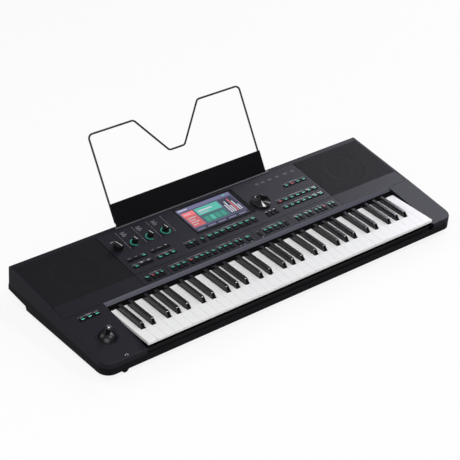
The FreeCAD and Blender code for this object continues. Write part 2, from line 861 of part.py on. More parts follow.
def make_panel_board(places, module):
    low = -(board_top + s.board_thickness)
    margin = s.panel_ledge * 2
    side = display_centre + glass_width / 2 + margin
    strip = box("front_board", (margin - panel_left, s.panel_front + s.panel_ledge + s.clearance, low),
                (panel_right - margin, display_row - s.glass_depth / 2 - margin, -board_top), panel)
    right = box("right_board", (side, strip_depth, low),
                (panel_right - margin, row_depths["top"] + s.wide_depth * 2, -board_top), panel)
    display_left = display_centre - glass_width / 2 - margin
    knobs = box("knob_board", (margin - panel_left, knob_row - s.pot_side, low),
                (display_left, knob_row + s.pot_side + s.post_side, -board_top), panel)
    left = box("left_board", (margin - panel_left, strip_depth, low),
               (display_left, row_depths["back"] + s.wide_depth * 2, -board_top), panel)
    outer = pitches["wide"] + wide_width / 2 + s.panel_ledge
    board = fuse("control_board", strip, right, left)
    reach = s.wide_depth + s.post_side
    cheek_plate = box("cheek_board", (-(stick_place + outer), -(s.cheek_row + reach), low),
                      (outer - stick_place, reach - s.cheek_row, -board_top), cheek)
    half = s.pot_side / 2
    pots = [box("pot", (x - half, y - half, -board_top),
                (x + half, y + half, -(s.wall + s.clearance)), panel) for x, y in turning_places()]
    switches = [switch("switch", frame, x, y) for name, frame, kind, x, y in places]
    keep("panel_boards", group("boards_and_switches", [board, knobs, cheek_plate, module, *pots, *switches]))


def knob_outline(radius, height):
    edge = s.knob_edge
    top_radius = radius - s.knob_taper
    return [(0, -s.wall), (s.shaft_radius, -s.wall), (s.shaft_radius, s.knob_lift),
            (radius, s.knob_lift), (top_radius, height - edge), (top_radius - edge, height), (0, height)]


def make_knobs():
    keep("volume_knob", revolve("volume", knob_outline(s.volume_radius, s.volume_height),
                                panel, panel_x(VOLUME_SHARE), knob_row))
    rings = []
    for index, x in enumerate(knob_places(), 1):
        keep(f"control_knob_{index}", revolve(f"knob_{index}", knob_outline(s.knob_radius, s.knob_height),
                                              panel, x, knob_row))
        rings.append(revolve(f"ring_{index}", [
            (s.ring_inner_radius, -s.ring_thickness), (s.ring_outer_radius, -s.ring_thickness),
            (s.ring_outer_radius, 0), (s.ring_inner_radius, 0)], panel, x, knob_row))
    keep("led_rings", group("ring_set", rings))
    edge = s.dial_edge
    x = panel_x(DIAL_SHARE)
    disc = revolve("dial_disc", [
        (0, -s.wall), (s.shaft_radius, -s.wall), (s.shaft_radius, s.knob_lift),
        (s.dial_radius, s.knob_lift), (s.dial_radius, s.dial_height - edge),
        (s.dial_radius - edge, s.dial_height), (0, s.dial_height - s.dial_dish)], panel, x, dial_row)
    bottom = s.dial_height - s.dial_dish - s.dimple_depth
    top = s.dial_height + s.dial_dish
    dimple = revolve("dial_dimple", [
        (0, bottom), (s.dimple_radius / 2, bottom), (s.dimple_radius, top), (0, top)],
        panel, x, dial_row + s.dimple_offset)
    keep("data_dial", cut("dial", disc, dimple))


def make_buttons(places):
    sets = {}
    for name, frame, kind, x, y in places:
        sets.setdefault(name, []).append(button(name + "_cap", frame, kind, x, y))
    for name, caps in sets.items():
        keep(name, group(name + "_set", caps))


def make_joystick():
    x, y = -stick_place, -s.stick_row
    outer = cup_radius
    rim = outer + s.bowl_rim
    mouth_reach = s.dome_radius + s.mouth_gap
    mouth = mouth_reach * sine(s.mouth_angle)
    mouth_foot = mouth_reach * cosine(s.mouth_angle) - stick_depth
    bowl = revolve("bowl", [
        (rim, 0), (rim, s.bowl_lip), (rim - s.bowl_lip, s.bowl_lip),
        (mouth, mouth_foot + s.mouth_edge), (mouth, mouth_foot), (cup_inner, mouth_foot),
        (cup_inner, -s.cup_depth), (outer, -s.cup_depth), (outer, 0)], cheek, x, y)
    pin_span = outer + s.overrun
    hole = cylinder_across("pivot_hole", pin_span * 2, s.pivot_radius + s.pivot_fit, x - pin_span, y)
    keep("joystick_bowl", cut("joystick_bowl_cup", bowl, hole))
    half_out = s.gimbal_outer / 2
    half_in = s.gimbal_inner / 2
    half_high = s.gimbal_height / 2
    ring = box("gimbal_block", (x - half_out, y - half_out, -(stick_depth + half_high)),
               (x + half_out, y + half_out, half_high - stick_depth), cheek)
    space = box("gimbal_space", (x - half_in, y - half_in, -(stick_depth + s.gimbal_height)),
                (x + half_in, y + half_in, s.gimbal_height - stick_depth), cheek)
    pins = [cylinder_across("gimbal_pin", outer - half_out, s.pivot_radius, start, y)
            for start in (x - outer, x + half_out)]
    cross = bar_in_cheek("stick_pin_hole", s.gimbal_outer + s.overrun * 2, s.pivot_radius + s.pivot_fit,
                         x, y - half_out - s.overrun)
    frame_ring = fuse("gimbal_pinned", cut("gimbal_ring", ring, space), *pins)
    keep("joystick_gimbal", cut("gimbal", frame_ring, cross))
    cap_angle = s.dome_angle
    reach = s.dome_radius
    thin = reach - s.dome_wall
    shell = make_dome(x, y, reach, thin, cap_angle)
    stick_foot = thin - stick_depth
    stick = revolve("stick", [
        (0, stick_foot), (s.stick_radius, stick_foot), (s.stick_radius, s.stick_height - s.knob_edge),
        (s.stick_radius - s.knob_edge, s.stick_height), (0, s.stick_height)], cheek, x, y)
    half = s.shank_side / 2
    shank = box("stick_shank", (x - half, y - half, -(stick_depth + half)),
                (x + half, y + half, s.dome_radius - stick_depth - s.dome_wall / 2), cheek)
    pin = bar_in_cheek("stick_pin", s.gimbal_outer, s.pivot_radius, x, y - half_out)
    keep("joystick_stick", fuse("stick_and_dome", shell, stick, shank, pin))


def make_dome(x, y, outer_radius, inner_radius, angle):
    """A spherical cap about the joystick's pivot."""
    balls = []
    for name, radius in (("dome_outer", outer_radius), ("dome_inner", inner_radius)):
        ball = doc.addObject("Part::Sphere", name)
        bind(ball, "Radius", radius)
        bind(ball, "Angle1", 90 - angle)
        balls.append(place(ball, cheek, x, y, -stick_depth))
    return cut("dome_cap", *balls)


def cylinder_across(name, length, radius, start, y):
    """A pin along X at the joystick's pivot."""
    item = doc.addObject("Part::Cylinder", name)
    bind(item, "Radius", radius)
    bind(item, "Height", length)
    item.Placement.Rotation = FreeCAD.Rotation(Vector(0, 1, 0), 90)
    for axis, size in zip("xyz", cheek.point(start, y, -stick_depth)):
        bind(item, f"Placement.Base.{axis}", size)
    return item


def bar_in_cheek(name, length, radius, x, start):
    """A pin along the cheek's slope at the joystick's pivot."""
    item = doc.addObject("Part::Cylinder", name)
    bind(item, "Radius", radius)
    bind(item, "Height", length)
    item.Placement.Rotation = FreeCAD.Rotation(Vector(1, 0, 0), -1)
    bind(item, "Placement.Rotation.Angle", s.cheek_slope - 90)
    for axis, size in zip("xyz", cheek.point(x, start, -stick_depth)):
        bind(item, f"Placement.Base.{axis}", size)
    return item


def white_key(name, left, right, tail_left, tail_right):
    head = box(name + "_head", (left, s.key_front, key_bottom), (right, notch_depth, key_top))
    tail = box(name + "_tail", (tail_left, notch_depth, key_bottom), (tail_right, key_end, key_top))
    shell = s.key_shell
    ceiling = key_top - shell
    low = key_bottom - s.overrun
    head_space = box(name + "_head_space", (left + shell, s.key_front + shell, low),
                     (right - shell, notch_depth - shell, ceiling))
    tail_space = box(name + "_tail_space", (tail_left + shell, notch_depth + shell, low),
                     (tail_right - shell, fulcrum_depth - s.key_heel, ceiling))
    return cut(name, fuse(name + "_block", head, tail), head_space, tail_space)


def black_key(name, centre):
    half = s.black_width / 2
    top_half = s.black_top_width / 2
    front = s.key_front + s.black_setback
    bar = box(name + "_bar", (centre - half, front, key_bottom), (centre + half, key_end, key_top))
    crown = doc.addObject("Part::Wedge", name + "_crown")
    rear = key_cover - s.clearance
    spans = {"Xmin": -half, "Xmax": half, "X2min": -top_half, "X2max": top_half,
             "Ymin": 0, "Ymax": s.black_height,
             "Zmin": -rear, "Zmax": -front, "Z2min": -rear, "Z2max": -(front + s.black_rake)}
    for prop, size in spans.items():
        bind(crown, prop, size)
    crown.Placement.Rotation = FreeCAD.Rotation(Vector(1, 0, 0), 90)
    for axis, size in zip("xyz", case.point(centre, 0, key_top)):
        bind(crown, f"Placement.Base.{axis}", size)
    return fuse(name, bar, crown)


def make_keys():
    half_gap = s.white_gap / 2
    slot = s.black_width + s.black_gap * 2
    for octave in range(OCTAVES):
        sets = {"outer": [], "inner": [], "black": []}
        left = key_left + s.white_pitch * (WHITES_PER_OCTAVE * octave)
        for first, count in BLACK_RUNS.items():
            run_left = left + s.white_pitch * NATURALS.index(first)
            tail = (s.white_pitch * count - slot * (count - 1)) / count
            for index in range(int(count)):
                natural = NATURALS[NATURALS.index(first) + index]
                head_left = run_left + s.white_pitch * index + half_gap
                head_right = run_left + s.white_pitch * (index + 1) - half_gap
                tail_left = run_left + (tail + slot) * index if index else head_left
                tail_right = run_left + (tail + slot) * index + tail if index < count - 1 else head_right
                key = white_key(f"key_{natural}{octave}", head_left, head_right, tail_left, tail_right)
                sets["outer" if natural in "CEGB" else "inner"].append(key)
                if index:
                    centre = run_left + (tail + slot) * index - slot / 2
                    sets["black"].append(black_key(f"sharp_{natural}{octave}", centre))
        if octave == OCTAVES - 1:
            last = key_right - s.white_pitch + half_gap
            end = key_right - half_gap
            sets["outer"].append(white_key("key_top_C", last, end, last, end))
        for kind, keys in sets.items():
            keep(f"octave_{octave + 1}_{kind}_keys", group(f"octave_{octave + 1}_{kind}_set", keys))


def make_key_bed():
    floor = s.wall
    deck = floor + s.frame_floor
    stop_top = key_bottom - s.key_travel - s.stop_felt
    stop_rear = s.stop_front + s.stop_depth
    ridge = key_bottom - s.clearance
    half_ridge = s.ridge_width / 2
    half_foot = s.ridge_foot / 2
    section = prism("frame_section", [
        (s.stop_front, floor), (s.stop_front, stop_top), (stop_rear, stop_top), (stop_rear, deck),
        (fulcrum_depth - half_foot, deck), (fulcrum_depth - half_ridge, ridge),
        (fulcrum_depth + half_ridge, ridge), (fulcrum_depth + half_foot, deck),
        (fulcrum_depth + half_foot, floor)], key_left, key_right)
    contact_rear = s.contact_front + s.contact_depth
    middle = s.contact_front + s.contact_depth / 2
    lever = (fulcrum_depth - middle + s.dome_top / 2) / (fulcrum_depth - s.key_front)
    dome_top = key_bottom - s.key_travel * lever - s.clearance
    rail_top = dome_top - s.dome_height - s.board_thickness
    rails = [box("contact_rail", (key_left, depth, deck), (key_right, depth + s.contact_rail, rail_top))
             for depth in (s.contact_front, contact_rear - s.contact_rail)]
    keep("key_frame", fuse("key_frame_section", section, *rails))
    stop = box("stop_felt_strip", (key_left, s.stop_front, stop_top),
               (key_right, stop_rear, stop_top + s.stop_felt))
    cover = box("cover_felt_strip", (opening_left + s.clearance, key_cover, passage_top - s.cover_felt),
                (opening_right - s.clearance, bevel_depth + s.wall, passage_top))
    keep("key_felts", group("felt_strips", [stop, cover]))
    board = box("contact_strip", (key_left, s.contact_front, rail_top),
                (key_right, contact_rear, rail_top + s.board_thickness))
    keep("contact_board", board)
    base = rail_top + s.board_thickness
    keep("contact_rubber", prism("dome_strip", [
        (middle - s.dome_base / 2, base), (middle + s.dome_base / 2, base),
        (middle + s.dome_top / 2, dome_top), (middle - s.dome_top / 2, dome_top)],
        key_left, key_right))


def make_rest():
    half_sheet = s.rest_sheet / 2
    half_lean = tangent(s.rest_lean / 2)
    along = sine(s.rest_lean)
    up = cosine(s.rest_lean)
    bend = rest_bend()
    foot = bend - s.rest_rise - s.rest_tongue
    top_depth = rest_base + s.rest_plate * along
    top_height = bend + s.rest_plate * up
    left = -(s.rest_centre + s.rest_width / 2)
    right = s.rest_width / 2 - s.rest_centre
    keep("music_rest_plate", prism("rest_sheet_body", [
        (rest_base - half_sheet, foot), (rest_base + half_sheet, foot),
        (rest_base + half_sheet, bend - half_sheet * half_lean),
        (top_depth + half_sheet * up, top_height - half_sheet * along),
        (top_depth - half_sheet * up, top_height + half_sheet * along),
        (rest_base - half_sheet, bend + half_sheet * half_lean)], left, right))
    trim_half = s.trim_width / 2
    lip = s.trim_lip
    surface = bend - s.rest_rise
    slot_half = half_sheet + s.clearance
    trim_left = left - lip * 2
    trim_right = right + s.trim_run
    row = (rest_base - s.shoulder_depth) / cosine(s.panel_slope)
    body = box("trim_body", (trim_left + lip, rest_base - trim_half + lip, foot - s.wall),
               (trim_right - lip, rest_base + trim_half - lip, surface + s.trim_height / 2))
    crown = box("trim_crown", (trim_left, row - trim_half, 0),
                (trim_right, row + trim_half, s.trim_height), panel)
    slot = box("trim_slot", (left - s.clearance, rest_base - slot_half, foot - s.clearance),
               (right + s.clearance, rest_base + slot_half, bend + s.overrun))
    keep("music_rest_slot", cut("trim", fuse("trim_block", body, crown), slot))
    make_rest_wire(left, right, bend)
    inset = lip - s.clearance
    return box("rest_slot_hole", (trim_left + inset, rest_base - trim_half + inset, 0),
               (trim_right - inset, rest_base + trim_half - inset, rear_height + s.overrun))


def rest_bend():
    """Height of the fold where the rest's sheet turns from its tongue to its lean."""
    surface = s.shoulder_height + (rest_base - s.shoulder_depth) * tangent(s.panel_slope)
    return surface + s.rest_rise


def make_rest_wire(left, right, bend):
    """The bent wire behind the plate: straight runs joined by equal bends."""
    radius = s.wire_radius.value
    middle = (left.value + right.value) / 2
    half = (right.value - left.value) / 2
    top = s.rest_height.value - radius
    dip = s.rest_height.value * REST_NOTCH_DEPTH_SHARE
    side = half - radius
    shoulder = half * REST_NOTCH_TOP_SHARE
    valley = half * REST_NOTCH_FOOT_SHARE
    corners = [Vector(middle + x, 0, h) for x, h in (
        (-side, s.wire_foot.value), (-side, top), (-shoulder, top), (-valley, dip),
        (valley, dip), (shoulder, top), (side, top), (side, s.wire_foot.value))]
    edges = []
    start = corners[0]
    for before, corner, after in zip(corners, corners[1:], corners[2:]):
        back = (before - corner).normalize()
        ahead = (after - corner).normalize()
        half_turn = (math.pi - back.getAngle(ahead)) / 2
        reach = s.wire_bend.value * math.tan(half_turn)
        bisector = (back + ahead).normalize()
        near = corner + bisector * (s.wire_bend.value / math.cos(half_turn) - s.wire_bend.value)
        first, last = corner + back * reach, corner + ahead * reach
        edges += [Part.LineSegment(start, first).toShape(), Part.Arc(first, near, last).toShape()]
        start = last
    edges.append(Part.LineSegment(start, corners[-1]).toShape())
    path = Part.Wire(edges)
    ring = Part.Wire([Part.Circle(corners[0], Vector(0, 0, 1), radius).toShape()])
    item = doc.addObject("Part::Feature", "rest_wire")
    item.Shape = path.makePipeShell([ring], True, False)
    lean = FreeCAD.Rotation(Vector(1, 0, 0), -s.rest_lean.value)
    behind = lean.multVec(Vector(0, s.rest_sheet.value / 2 + radius, 0))
    base = Vector(*(size.value for size in case.point(0, rest_base, bend)))
    item.Placement = FreeCAD.Placement(base + behind, lean)
    keep("music_rest_wire", item)


def main_board_front():
    return fulcrum_depth + s.ridge_foot / 2 + s.main_board_gap


def make_main_board():
    half = s.main_board_width / 2
    front = main_board_front()
    top = s.main_board_lift + s.board_thickness
    board = box("board", (-half, front, s.main_board_lift), (half, front + s.main_board_depth, top))
    chips = []
    for share in CHIP_SHARES:
        x = s.main_board_width * share - half
        chips.append(box("chip", (x, front + s.boss_radius, top),
                         (x + s.chip_side, front + s.boss_radius + s.chip_side, top + s.chip_height)))
    keep("main_board", group("main_board_set", [board, *chips, *make_rear_board()]))


def make_rear_board():
    """The board under the rear sockets, with the switch behind the power button."""
    half = s.jack_body / 2
    top = s.socket_height - half
    rear = case_depth - s.wall - s.socket_plate
    left, right = socket_span()
    board = box("rear_board", (left, rear - s.jack_length, top - s.board_thickness), (right, rear, top))
    side = s.power_side / 2
    face = rear - s.clearance - s.flange_thickness - s.power_travel - s.clearance
    power_switch = box("power_switch", (-s.power_place - side, face - s.power_side, top),
                       (side - s.power_place, face, s.socket_height + side))
    return board, power_switch


def socket_span():
    """How far the rear sockets reach to the left and to the right."""
    right = s.jack_place + s.jack_pitch * (JACK_COUNT - 1) + s.socket_margin
    return -(s.power_place + s.socket_margin), right


def make_sockets():
    """The rear sockets, the plate that holds them and the window that shows it."""
    face = case_depth - s.wall
    inside = face - s.socket_plate
    centre = s.socket_height
    half = s.jack_body / 2
    through = s.socket_plate + s.overrun * 2
    bush_hole = s.jack_bush_radius + s.clearance
    holes = []
    jacks = []
    for index in range(JACK_COUNT):
        x = s.jack_place + s.jack_pitch * index
        block = box("jack_block", (x - half, inside - s.jack_length, centre - half),
                    (x + half, inside, centre + half))
        bush = bar_along_depth("jack_bush", (x, inside, centre), s.jack_bush_radius, s.socket_plate)
        bore = bar_along_depth("jack_bore", (x, inside - s.jack_length + s.wall, centre), s.jack_bore_radius,
                               s.jack_length + s.overrun)
        jacks.append(cut("jack", fuse("jack_solid", block, bush), bore))
        holes.append(bar_along_depth("jack_hole", (x, inside - s.overrun, centre), bush_hole, through))
    keep("rear_jacks", group("jack_row", jacks))
    sockets = []
    for index in range(USB_COUNT):
        x = -(s.usb_place + s.usb_pitch * index)
        across = s.usb_width / 2
        high = s.usb_slot / 2
        shell = s.usb_shell
        block = box("usb_block", (x - across - shell, inside - s.usb_length, centre - high - shell),
                    (x + across + shell, face, centre + high + shell))
        slot = box("usb_slot_space", (x - across, inside - s.usb_length + s.wall, centre - high),
                   (x + across, face + s.overrun, centre + high))
        sockets.append(cut("usb", block, slot))
        slack = shell + s.clearance
        holes.append(box("usb_hole", (x - across - slack, inside - s.overrun, centre - high - slack),
                         (x + across + slack, face + s.overrun, centre + high + slack)))
    keep("usb_sockets", group("usb_row", sockets))
    x = -s.inlet_place
    block = box("inlet_block", (x - half, inside - s.inlet_bore_depth - s.wall, centre - half),
                (x + half, inside, centre + half))
    bush = bar_along_depth("inlet_bush", (x, inside, centre), s.jack_bush_radius, s.socket_plate)
    bore = bar_along_depth("inlet_bore", (x, face - s.inlet_bore_depth, centre), s.inlet_bore_radius,
                           s.inlet_bore_depth + s.overrun)
    keep("power_inlet", cut("inlet", fuse("inlet_solid", block, bush), bore))
    holes.append(bar_along_depth("inlet_hole", (x, inside - s.overrun, centre), bush_hole, through))
    holes.append(make_power_button(inside, face, centre))
    left, right = socket_span()
    low, high = centre - s.socket_margin, centre + s.socket_margin
    lip = s.socket_lip
    plate = box("socket_plate_blank", (left - lip, inside, low - lip), (right + lip, face, high + lip))
    keep("socket_plate", cut("socket_plate_holed", plate, *holes))
    return box("socket_window", (left, face - s.overrun, low), (right, case_depth + s.overrun, high))


def make_power_button(inside, face, centre):
    x = -s.power_place
    half = s.power_side / 2
    edge = s.button_flange
    flange_rear = inside - s.clearance
    flange_front = flange_rear - s.flange_thickness
    cap = box("power_cap", (x - half, flange_front, centre - half),
              (x + half, face + s.power_rise, centre + half))
    flange = box("power_flange", (x - half - edge, flange_front, centre - half - edge),
                 (x + half + edge, flange_rear, centre + half + edge))
    keep("power_button", fuse("power", cap, flange))
    slack = s.clearance
    return box("power_hole", (x - half - slack, inside - s.overrun, centre - half - slack),
               (x + half + slack, face + s.overrun, centre + half + slack))


def make_phones_socket():
    """The headphone socket's block, which hangs under the front edge."""
    x = -phones_place
    half = s.phones_width / 2
    edge = s.phones_edge
    low = -s.phones_drop
    front = s.phones_inset
    block = bar("phones_block", [
        (x - half, 0), (x - half, low + edge), (x - half + edge, low), (x + half - edge, low),
        (x + half, low + edge), (x + half, 0)], front, front + s.phones_length)
    bore = bar_along_depth("phones_bore", (x, front - s.overrun, low / 2), s.jack_bore_radius,
                           s.phones_length - s.wall + s.overrun)
    keep("headphone_socket", cut("phones", block, bore))


def make_feet_and_screws():
    feet = []
    for depth in (s.foot_front, tail_start - s.foot_tail_gap):
        for side in (-1, 0, 1):
            feet.append(revolve("foot", [
                (0, 0), (s.foot_radius - s.edge_radius, 0), (s.foot_radius, s.edge_radius),
                (s.foot_radius, s.foot_height), (0, s.foot_height)],
                case, (half_width - s.foot_inset) * side, depth, -s.foot_height))
    keep("rubber_feet", group("foot_set", feet))
    screws = []
    for x, depth, under in screw_places():
        head = cylinder("screw_head", (x, depth, 0), s.screw_head_radius, s.screw_head_height)
        shank = cylinder("screw_shank", (x, depth, s.screw_head_height), s.screw_shank_radius,
                         s.screw_length - s.screw_head_height)
        screws.append(fuse("screw", head, shank))
    keep("case_screws", group("screw_set", screws))


places = button_places()
panel_holes = [button_hole("button_hole", frame, kind, x, y)
               for name, frame, kind, x, y in places if frame is panel]
cheek_holes = [button_hole("cheek_button_hole", frame, kind, x, y)
               for name, frame, kind, x, y in places if frame is cheek]
cheek_holes.append(cylinder("joystick_hole", (-stick_place, -s.stick_row, -(s.wall + s.overrun)),
                            cup_radius + s.clearance, s.wall + s.overrun * 2, cheek))

make_lower_case()
window = make_sockets()
rest_hole = make_rest()
make_upper_case([*cheek_holes, window, rest_hole])
make_control_panel(panel_holes)
make_grilles()
make_speakers()
module = make_display()
make_panel_board(places, module)
make_knobs()
make_buttons(places)
make_joystick()
make_key_bed()
make_keys()
make_main_board()
make_phones_socket()
make_feet_and_screws()

doc.recompute()

for item in doc.Objects:
    if "Invalid" in item.State or "Error" in item.State:
        raise RuntimeError(f"{item.Label} failed: {item.State}")
os.makedirs("parts", exist_ok=True)
for name, item in nodes:
    if item.Shape.isNull() or not item.Shape.isValid():
        raise RuntimeError(f"{name} has no valid shape")
    item.Shape.exportStep(f"parts/{name}.step")
print(len(nodes), "nodes,", len(doc.Objects), "objects")
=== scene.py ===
"""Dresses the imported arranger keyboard: finishes for every part, and pieces for the looks alone."""
from collections import namedtuple
from math import cos, radians, sin, tau

import bmesh
import bpy
from bpy.props import FloatProperty, FloatVectorProperty, IntProperty, PointerProperty
from bpy.types import Operator, Panel, PropertyGroup
from mathutils import Matrix, Vector


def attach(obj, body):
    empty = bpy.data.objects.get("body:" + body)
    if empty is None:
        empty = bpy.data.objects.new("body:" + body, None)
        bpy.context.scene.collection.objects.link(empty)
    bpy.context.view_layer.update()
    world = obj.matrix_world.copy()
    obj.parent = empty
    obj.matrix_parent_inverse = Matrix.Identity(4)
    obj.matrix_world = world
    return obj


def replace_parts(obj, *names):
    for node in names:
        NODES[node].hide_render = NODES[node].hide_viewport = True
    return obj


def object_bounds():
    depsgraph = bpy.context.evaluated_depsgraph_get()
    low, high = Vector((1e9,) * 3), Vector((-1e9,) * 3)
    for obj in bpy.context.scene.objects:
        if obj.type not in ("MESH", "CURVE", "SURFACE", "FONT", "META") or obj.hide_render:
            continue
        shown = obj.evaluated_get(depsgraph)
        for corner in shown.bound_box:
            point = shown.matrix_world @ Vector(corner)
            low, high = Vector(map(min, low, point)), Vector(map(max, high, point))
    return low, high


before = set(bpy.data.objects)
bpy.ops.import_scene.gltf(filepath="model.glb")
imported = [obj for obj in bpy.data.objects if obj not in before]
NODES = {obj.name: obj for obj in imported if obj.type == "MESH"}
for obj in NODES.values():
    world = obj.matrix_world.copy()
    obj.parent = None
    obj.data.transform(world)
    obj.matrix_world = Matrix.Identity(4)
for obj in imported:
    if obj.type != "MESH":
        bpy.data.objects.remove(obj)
CAD_LOW, CAD_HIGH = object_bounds()

bl_info = {
    "name": "Arranger keyboard",
    "version": (1, 0, 0),
    "blender": (4, 5, 0),
    "location": "View3D > Sidebar > Keyboard",
    "description": "Finishes, lights and print for an arranger keyboard of 61 keys",
    "category": "Object",
}

# Sizes and places are written in millimetres, and Blender works in metres.
MM = 0.001


def seated(seat, x=0.0, up=0.0, out=0.0):
    """The frame of a seat, moved in millimetres along its own axes."""
    return seat @ Matrix.Translation((x * MM, up * MM, out * MM))


def spun(seat, degrees, axis="Z"):
    """The frame of a seat, turned about one of its own axes."""
    return seat @ Matrix.Rotation(radians(degrees), 4, axis)


# The control panel and the left cheek rise to the rear from one line at the keys' shoulder. In
# their frames x runs along the keys, y up the slope and z out of the surface.
PART = Matrix.Identity(4)
SHOULDER = seated(PART, 0, 113.5, 65.7)
PANEL = spun(SHOULDER, 7, "X")
CHEEK = spun(SHOULDER, 8, "X")
DIAL_SEAT = seated(PANEL, 125.6, 105.5)
STICK_SEAT = seated(CHEEK, -455.5, -84)

# Button caps: size and pitch, size of the lit window and its place up the cap, and how far past the
# cap its label and the bracket of its run lie.
Cap = namedtuple("Cap", "width depth pitch window_width window_depth window_up label bracket")
CAPS = {
    "wide": Cap(15.0, 7.2, 18.4, 7.8, 2.4, 0.0, 2.4, 5.6),
    "square": Cap(14.0, 14.5, 18.4, 10.0, 2.1, 5.0, 2.7, 6.4),
    "upright": Cap(11.0, 14.5, 15.6, 7.6, 2.0, 5.0, 2.7, 6.4),
    "slim": Cap(8.2, 14.5, 12.4, 5.6, 2.0, 5.0, 2.7, 6.4),
}
CAP_TOP, WINDOW_THICKNESS = 1.8, 0.5

# Where the rows of caps lie up the panel.
STRIP, FRONT, BACK, TOP = 15.4, 62.0, 85.2, 125.8

# Each group: the frame it lies in, its runs (place up the slope, x of the first cap, count, cap),
# and a letter for each cap in order: t teal window, r red window, - none.
BUTTONS = {
    "fade": (PANEL, [(STRIP, -274.0, 1, "upright"), (STRIP, -258.3, 3, "slim")], "trtt"),
    "style": (PANEL, [(STRIP, -202.8, 3, "upright"), (STRIP, -151.5, 4, "upright"),
                      (STRIP, -86.6, 1, "upright"), (STRIP, -68.3, 3, "upright"),
                      (STRIP, -19.5, 2, "slim"), (STRIP, 13.6, 1, "square")], "tttrtttttttttt"),
    "song": (PANEL, [(STRIP, 47.1, 1, "slim"), (STRIP, 66.9, 4, "upright"),
                     (STRIP, 129.0, 1, "slim")], "-tttt-"),
    "part": (PANEL, [(STRIP, 165.0, 2, "slim"), (STRIP, 195.5, 2, "slim"),
                     (STRIP, 226.3, 3, "slim"), (STRIP, 268.9, 2, "slim")], "ttttttrtt"),
    "screen": (PANEL, [(FRONT, -126.8, 3, "slim"), (FRONT, -83.0, 1, "slim"),
                       (FRONT, -60.0, 8, "square")], "-t-ttttttttt"),
    "value": (PANEL, [(FRONT, 112.3, 3, "slim")], "---"),
    "mode": (PANEL, [(TOP, 224.0, 4, "wide")], "trtt"),
    "setup": (PANEL, [(FRONT, -271.0, 3, "wide"), (BACK, -271.0, 3, "wide")], "t----t"),
    "memory": (PANEL, [(FRONT, -206.0, 3, "wide"), (BACK, -206.0, 3, "wide")], "ttt---"),
    "voice": (PANEL, [(FRONT, 169.0, 7, "wide"), (BACK, 169.0, 7, "wide")], "tttttttrtttttt"),
    "cheek": (CHEEK, [(-20.5, -473.9, 3, "wide")], "ttt"),
}
# Groups with bright labels, and between which x.
BRIGHT_LABELS = {"voice": (255, 300), "part": (160, 210), "value": (100, 150)}

# Knobs: place across and up the panel, foot radius, height, flutes, and lights lit round it. Then
# the pointers' turn and the first light's angle in degrees, and how far out the lights lie.
Knob = namedtuple("Knob", "x up radius height flutes lit")
KNOBS = {
    "volume_knob": Knob(-270.5, 132.5, 12.5, 14.0, 20, 0),
    "control_knob_1": Knob(-224.0, 132.5, 7.8, 13.0, 14, 8),
    "control_knob_2": Knob(-181.0, 132.5, 7.8, 13.0, 14, 8),
    "control_knob_3": Knob(-138.0, 132.5, 7.8, 13.0, 14, 12),
}
POINTER_TURN, FIRST_LIGHT, LIGHT_RADIUS = 13, 101, 10.7

OCTAVES = [name for name in NODES if name.startswith("octave_")]
BLACK_KEYS = [name for name in OCTAVES if "black" in name]
WHITE_KEYS = [name for name in OCTAVES if "black" not in name]
CAP_NODES = [name for name in NODES if name.endswith("_buttons")] + ["power_button"]

# The pale slope behind the keys: low y and z, high y and z, and half its length about the middle.
SLOPE = (105.2, 59.3, 113.6, 66.2)
KEYS_MIDDLE, SLOPE_REACH = 20.0, 427.2

# Speaker mouths at either side, each cloth's left and right edge and its mouth, the low and high
# edge up the slope, and what is turned down all round.
MOUTH_X, MOUTH_UP, MOUTH_RADIUS, SINK_WIDTH = 402.25, 113.85, 55.0, 7.0
CLOTHS = {"left_grille_cloth": (-507.2, -294.8, -MOUTH_X),
          "right_grille_cloth": (298.8, 507.2, MOUTH_X)}
CLOTH_LOW, CLOTH_HIGH, CLOTH_EDGE = 41.0, 186.7, 1.3

# Felts: lowest and highest corner.
FELTS = {"stop_felt": ((-403, -35, 35.3), (443, -19, 38.3)),
         "cover_felt": ((-406.9, 92, 56.2), (446.9, 108, 57.2))}

# Keys: the heights between which a white key's lip has painted shade, the foot and lean of a black
# key's front, how far back its edges shine most, and the heights between which their shine sets in.
LIP_SHADE_LOW, LIP_SHADE_HIGH = 50.5, 54.6
NOSE_Y, NOSE_Z, NOSE_LEAN = 4.0, 55.8, 0.727
SHINE_END, SHINE_LOW, SHINE_HIGH = 13.5, 65.2, 65.8

# Print: where the panel's front strip ends and where its sides are, how the ink lies on the panel,
# the brackets over the groups, the labels as shares of a cap's width, and the layers: three of ink
# and one of painted shadow in the joints.
STRIP_JOINT, SIDE_JOINTS = 40.7, (-293.6, 297.7)
INK_MIDDLE, INK_THICKNESS = 0.015, 0.07
TITLE_SHARE, TITLE_GAP, BRACKET_DROP, BRACKET_FOOT = 0.34, 1.5, 0.9, 2.2
LABEL_LENGTHS = (0.62, 0.48, 0.7, 0.4, 0.56)
GREY, BRIGHT, DIM, JOINT_SHADOW = range(4)

# Data dial: the outline of its rim as (radius, height), its fine rings and the finger cup.
DIAL_RIM = [(0, 0.5), (24.5, 0.5), (24.5, 5.0), (24.25, 5.6), (23.65, 6.0), (22.75, 6.0),
            (22.5, 5.65)]
RING_COUNT, RING_OUTER, RING_PITCH, RING_WIDTH = 18, 22.45, 1.2, 1.15
RING_LOW, RING_HIGH, CUP_UP = 5.05, 5.6, 14.5

# The lit page of the display: left, low, right and high edge on the panel.
PAGE = (-76.2, 92, 81.7, 177)

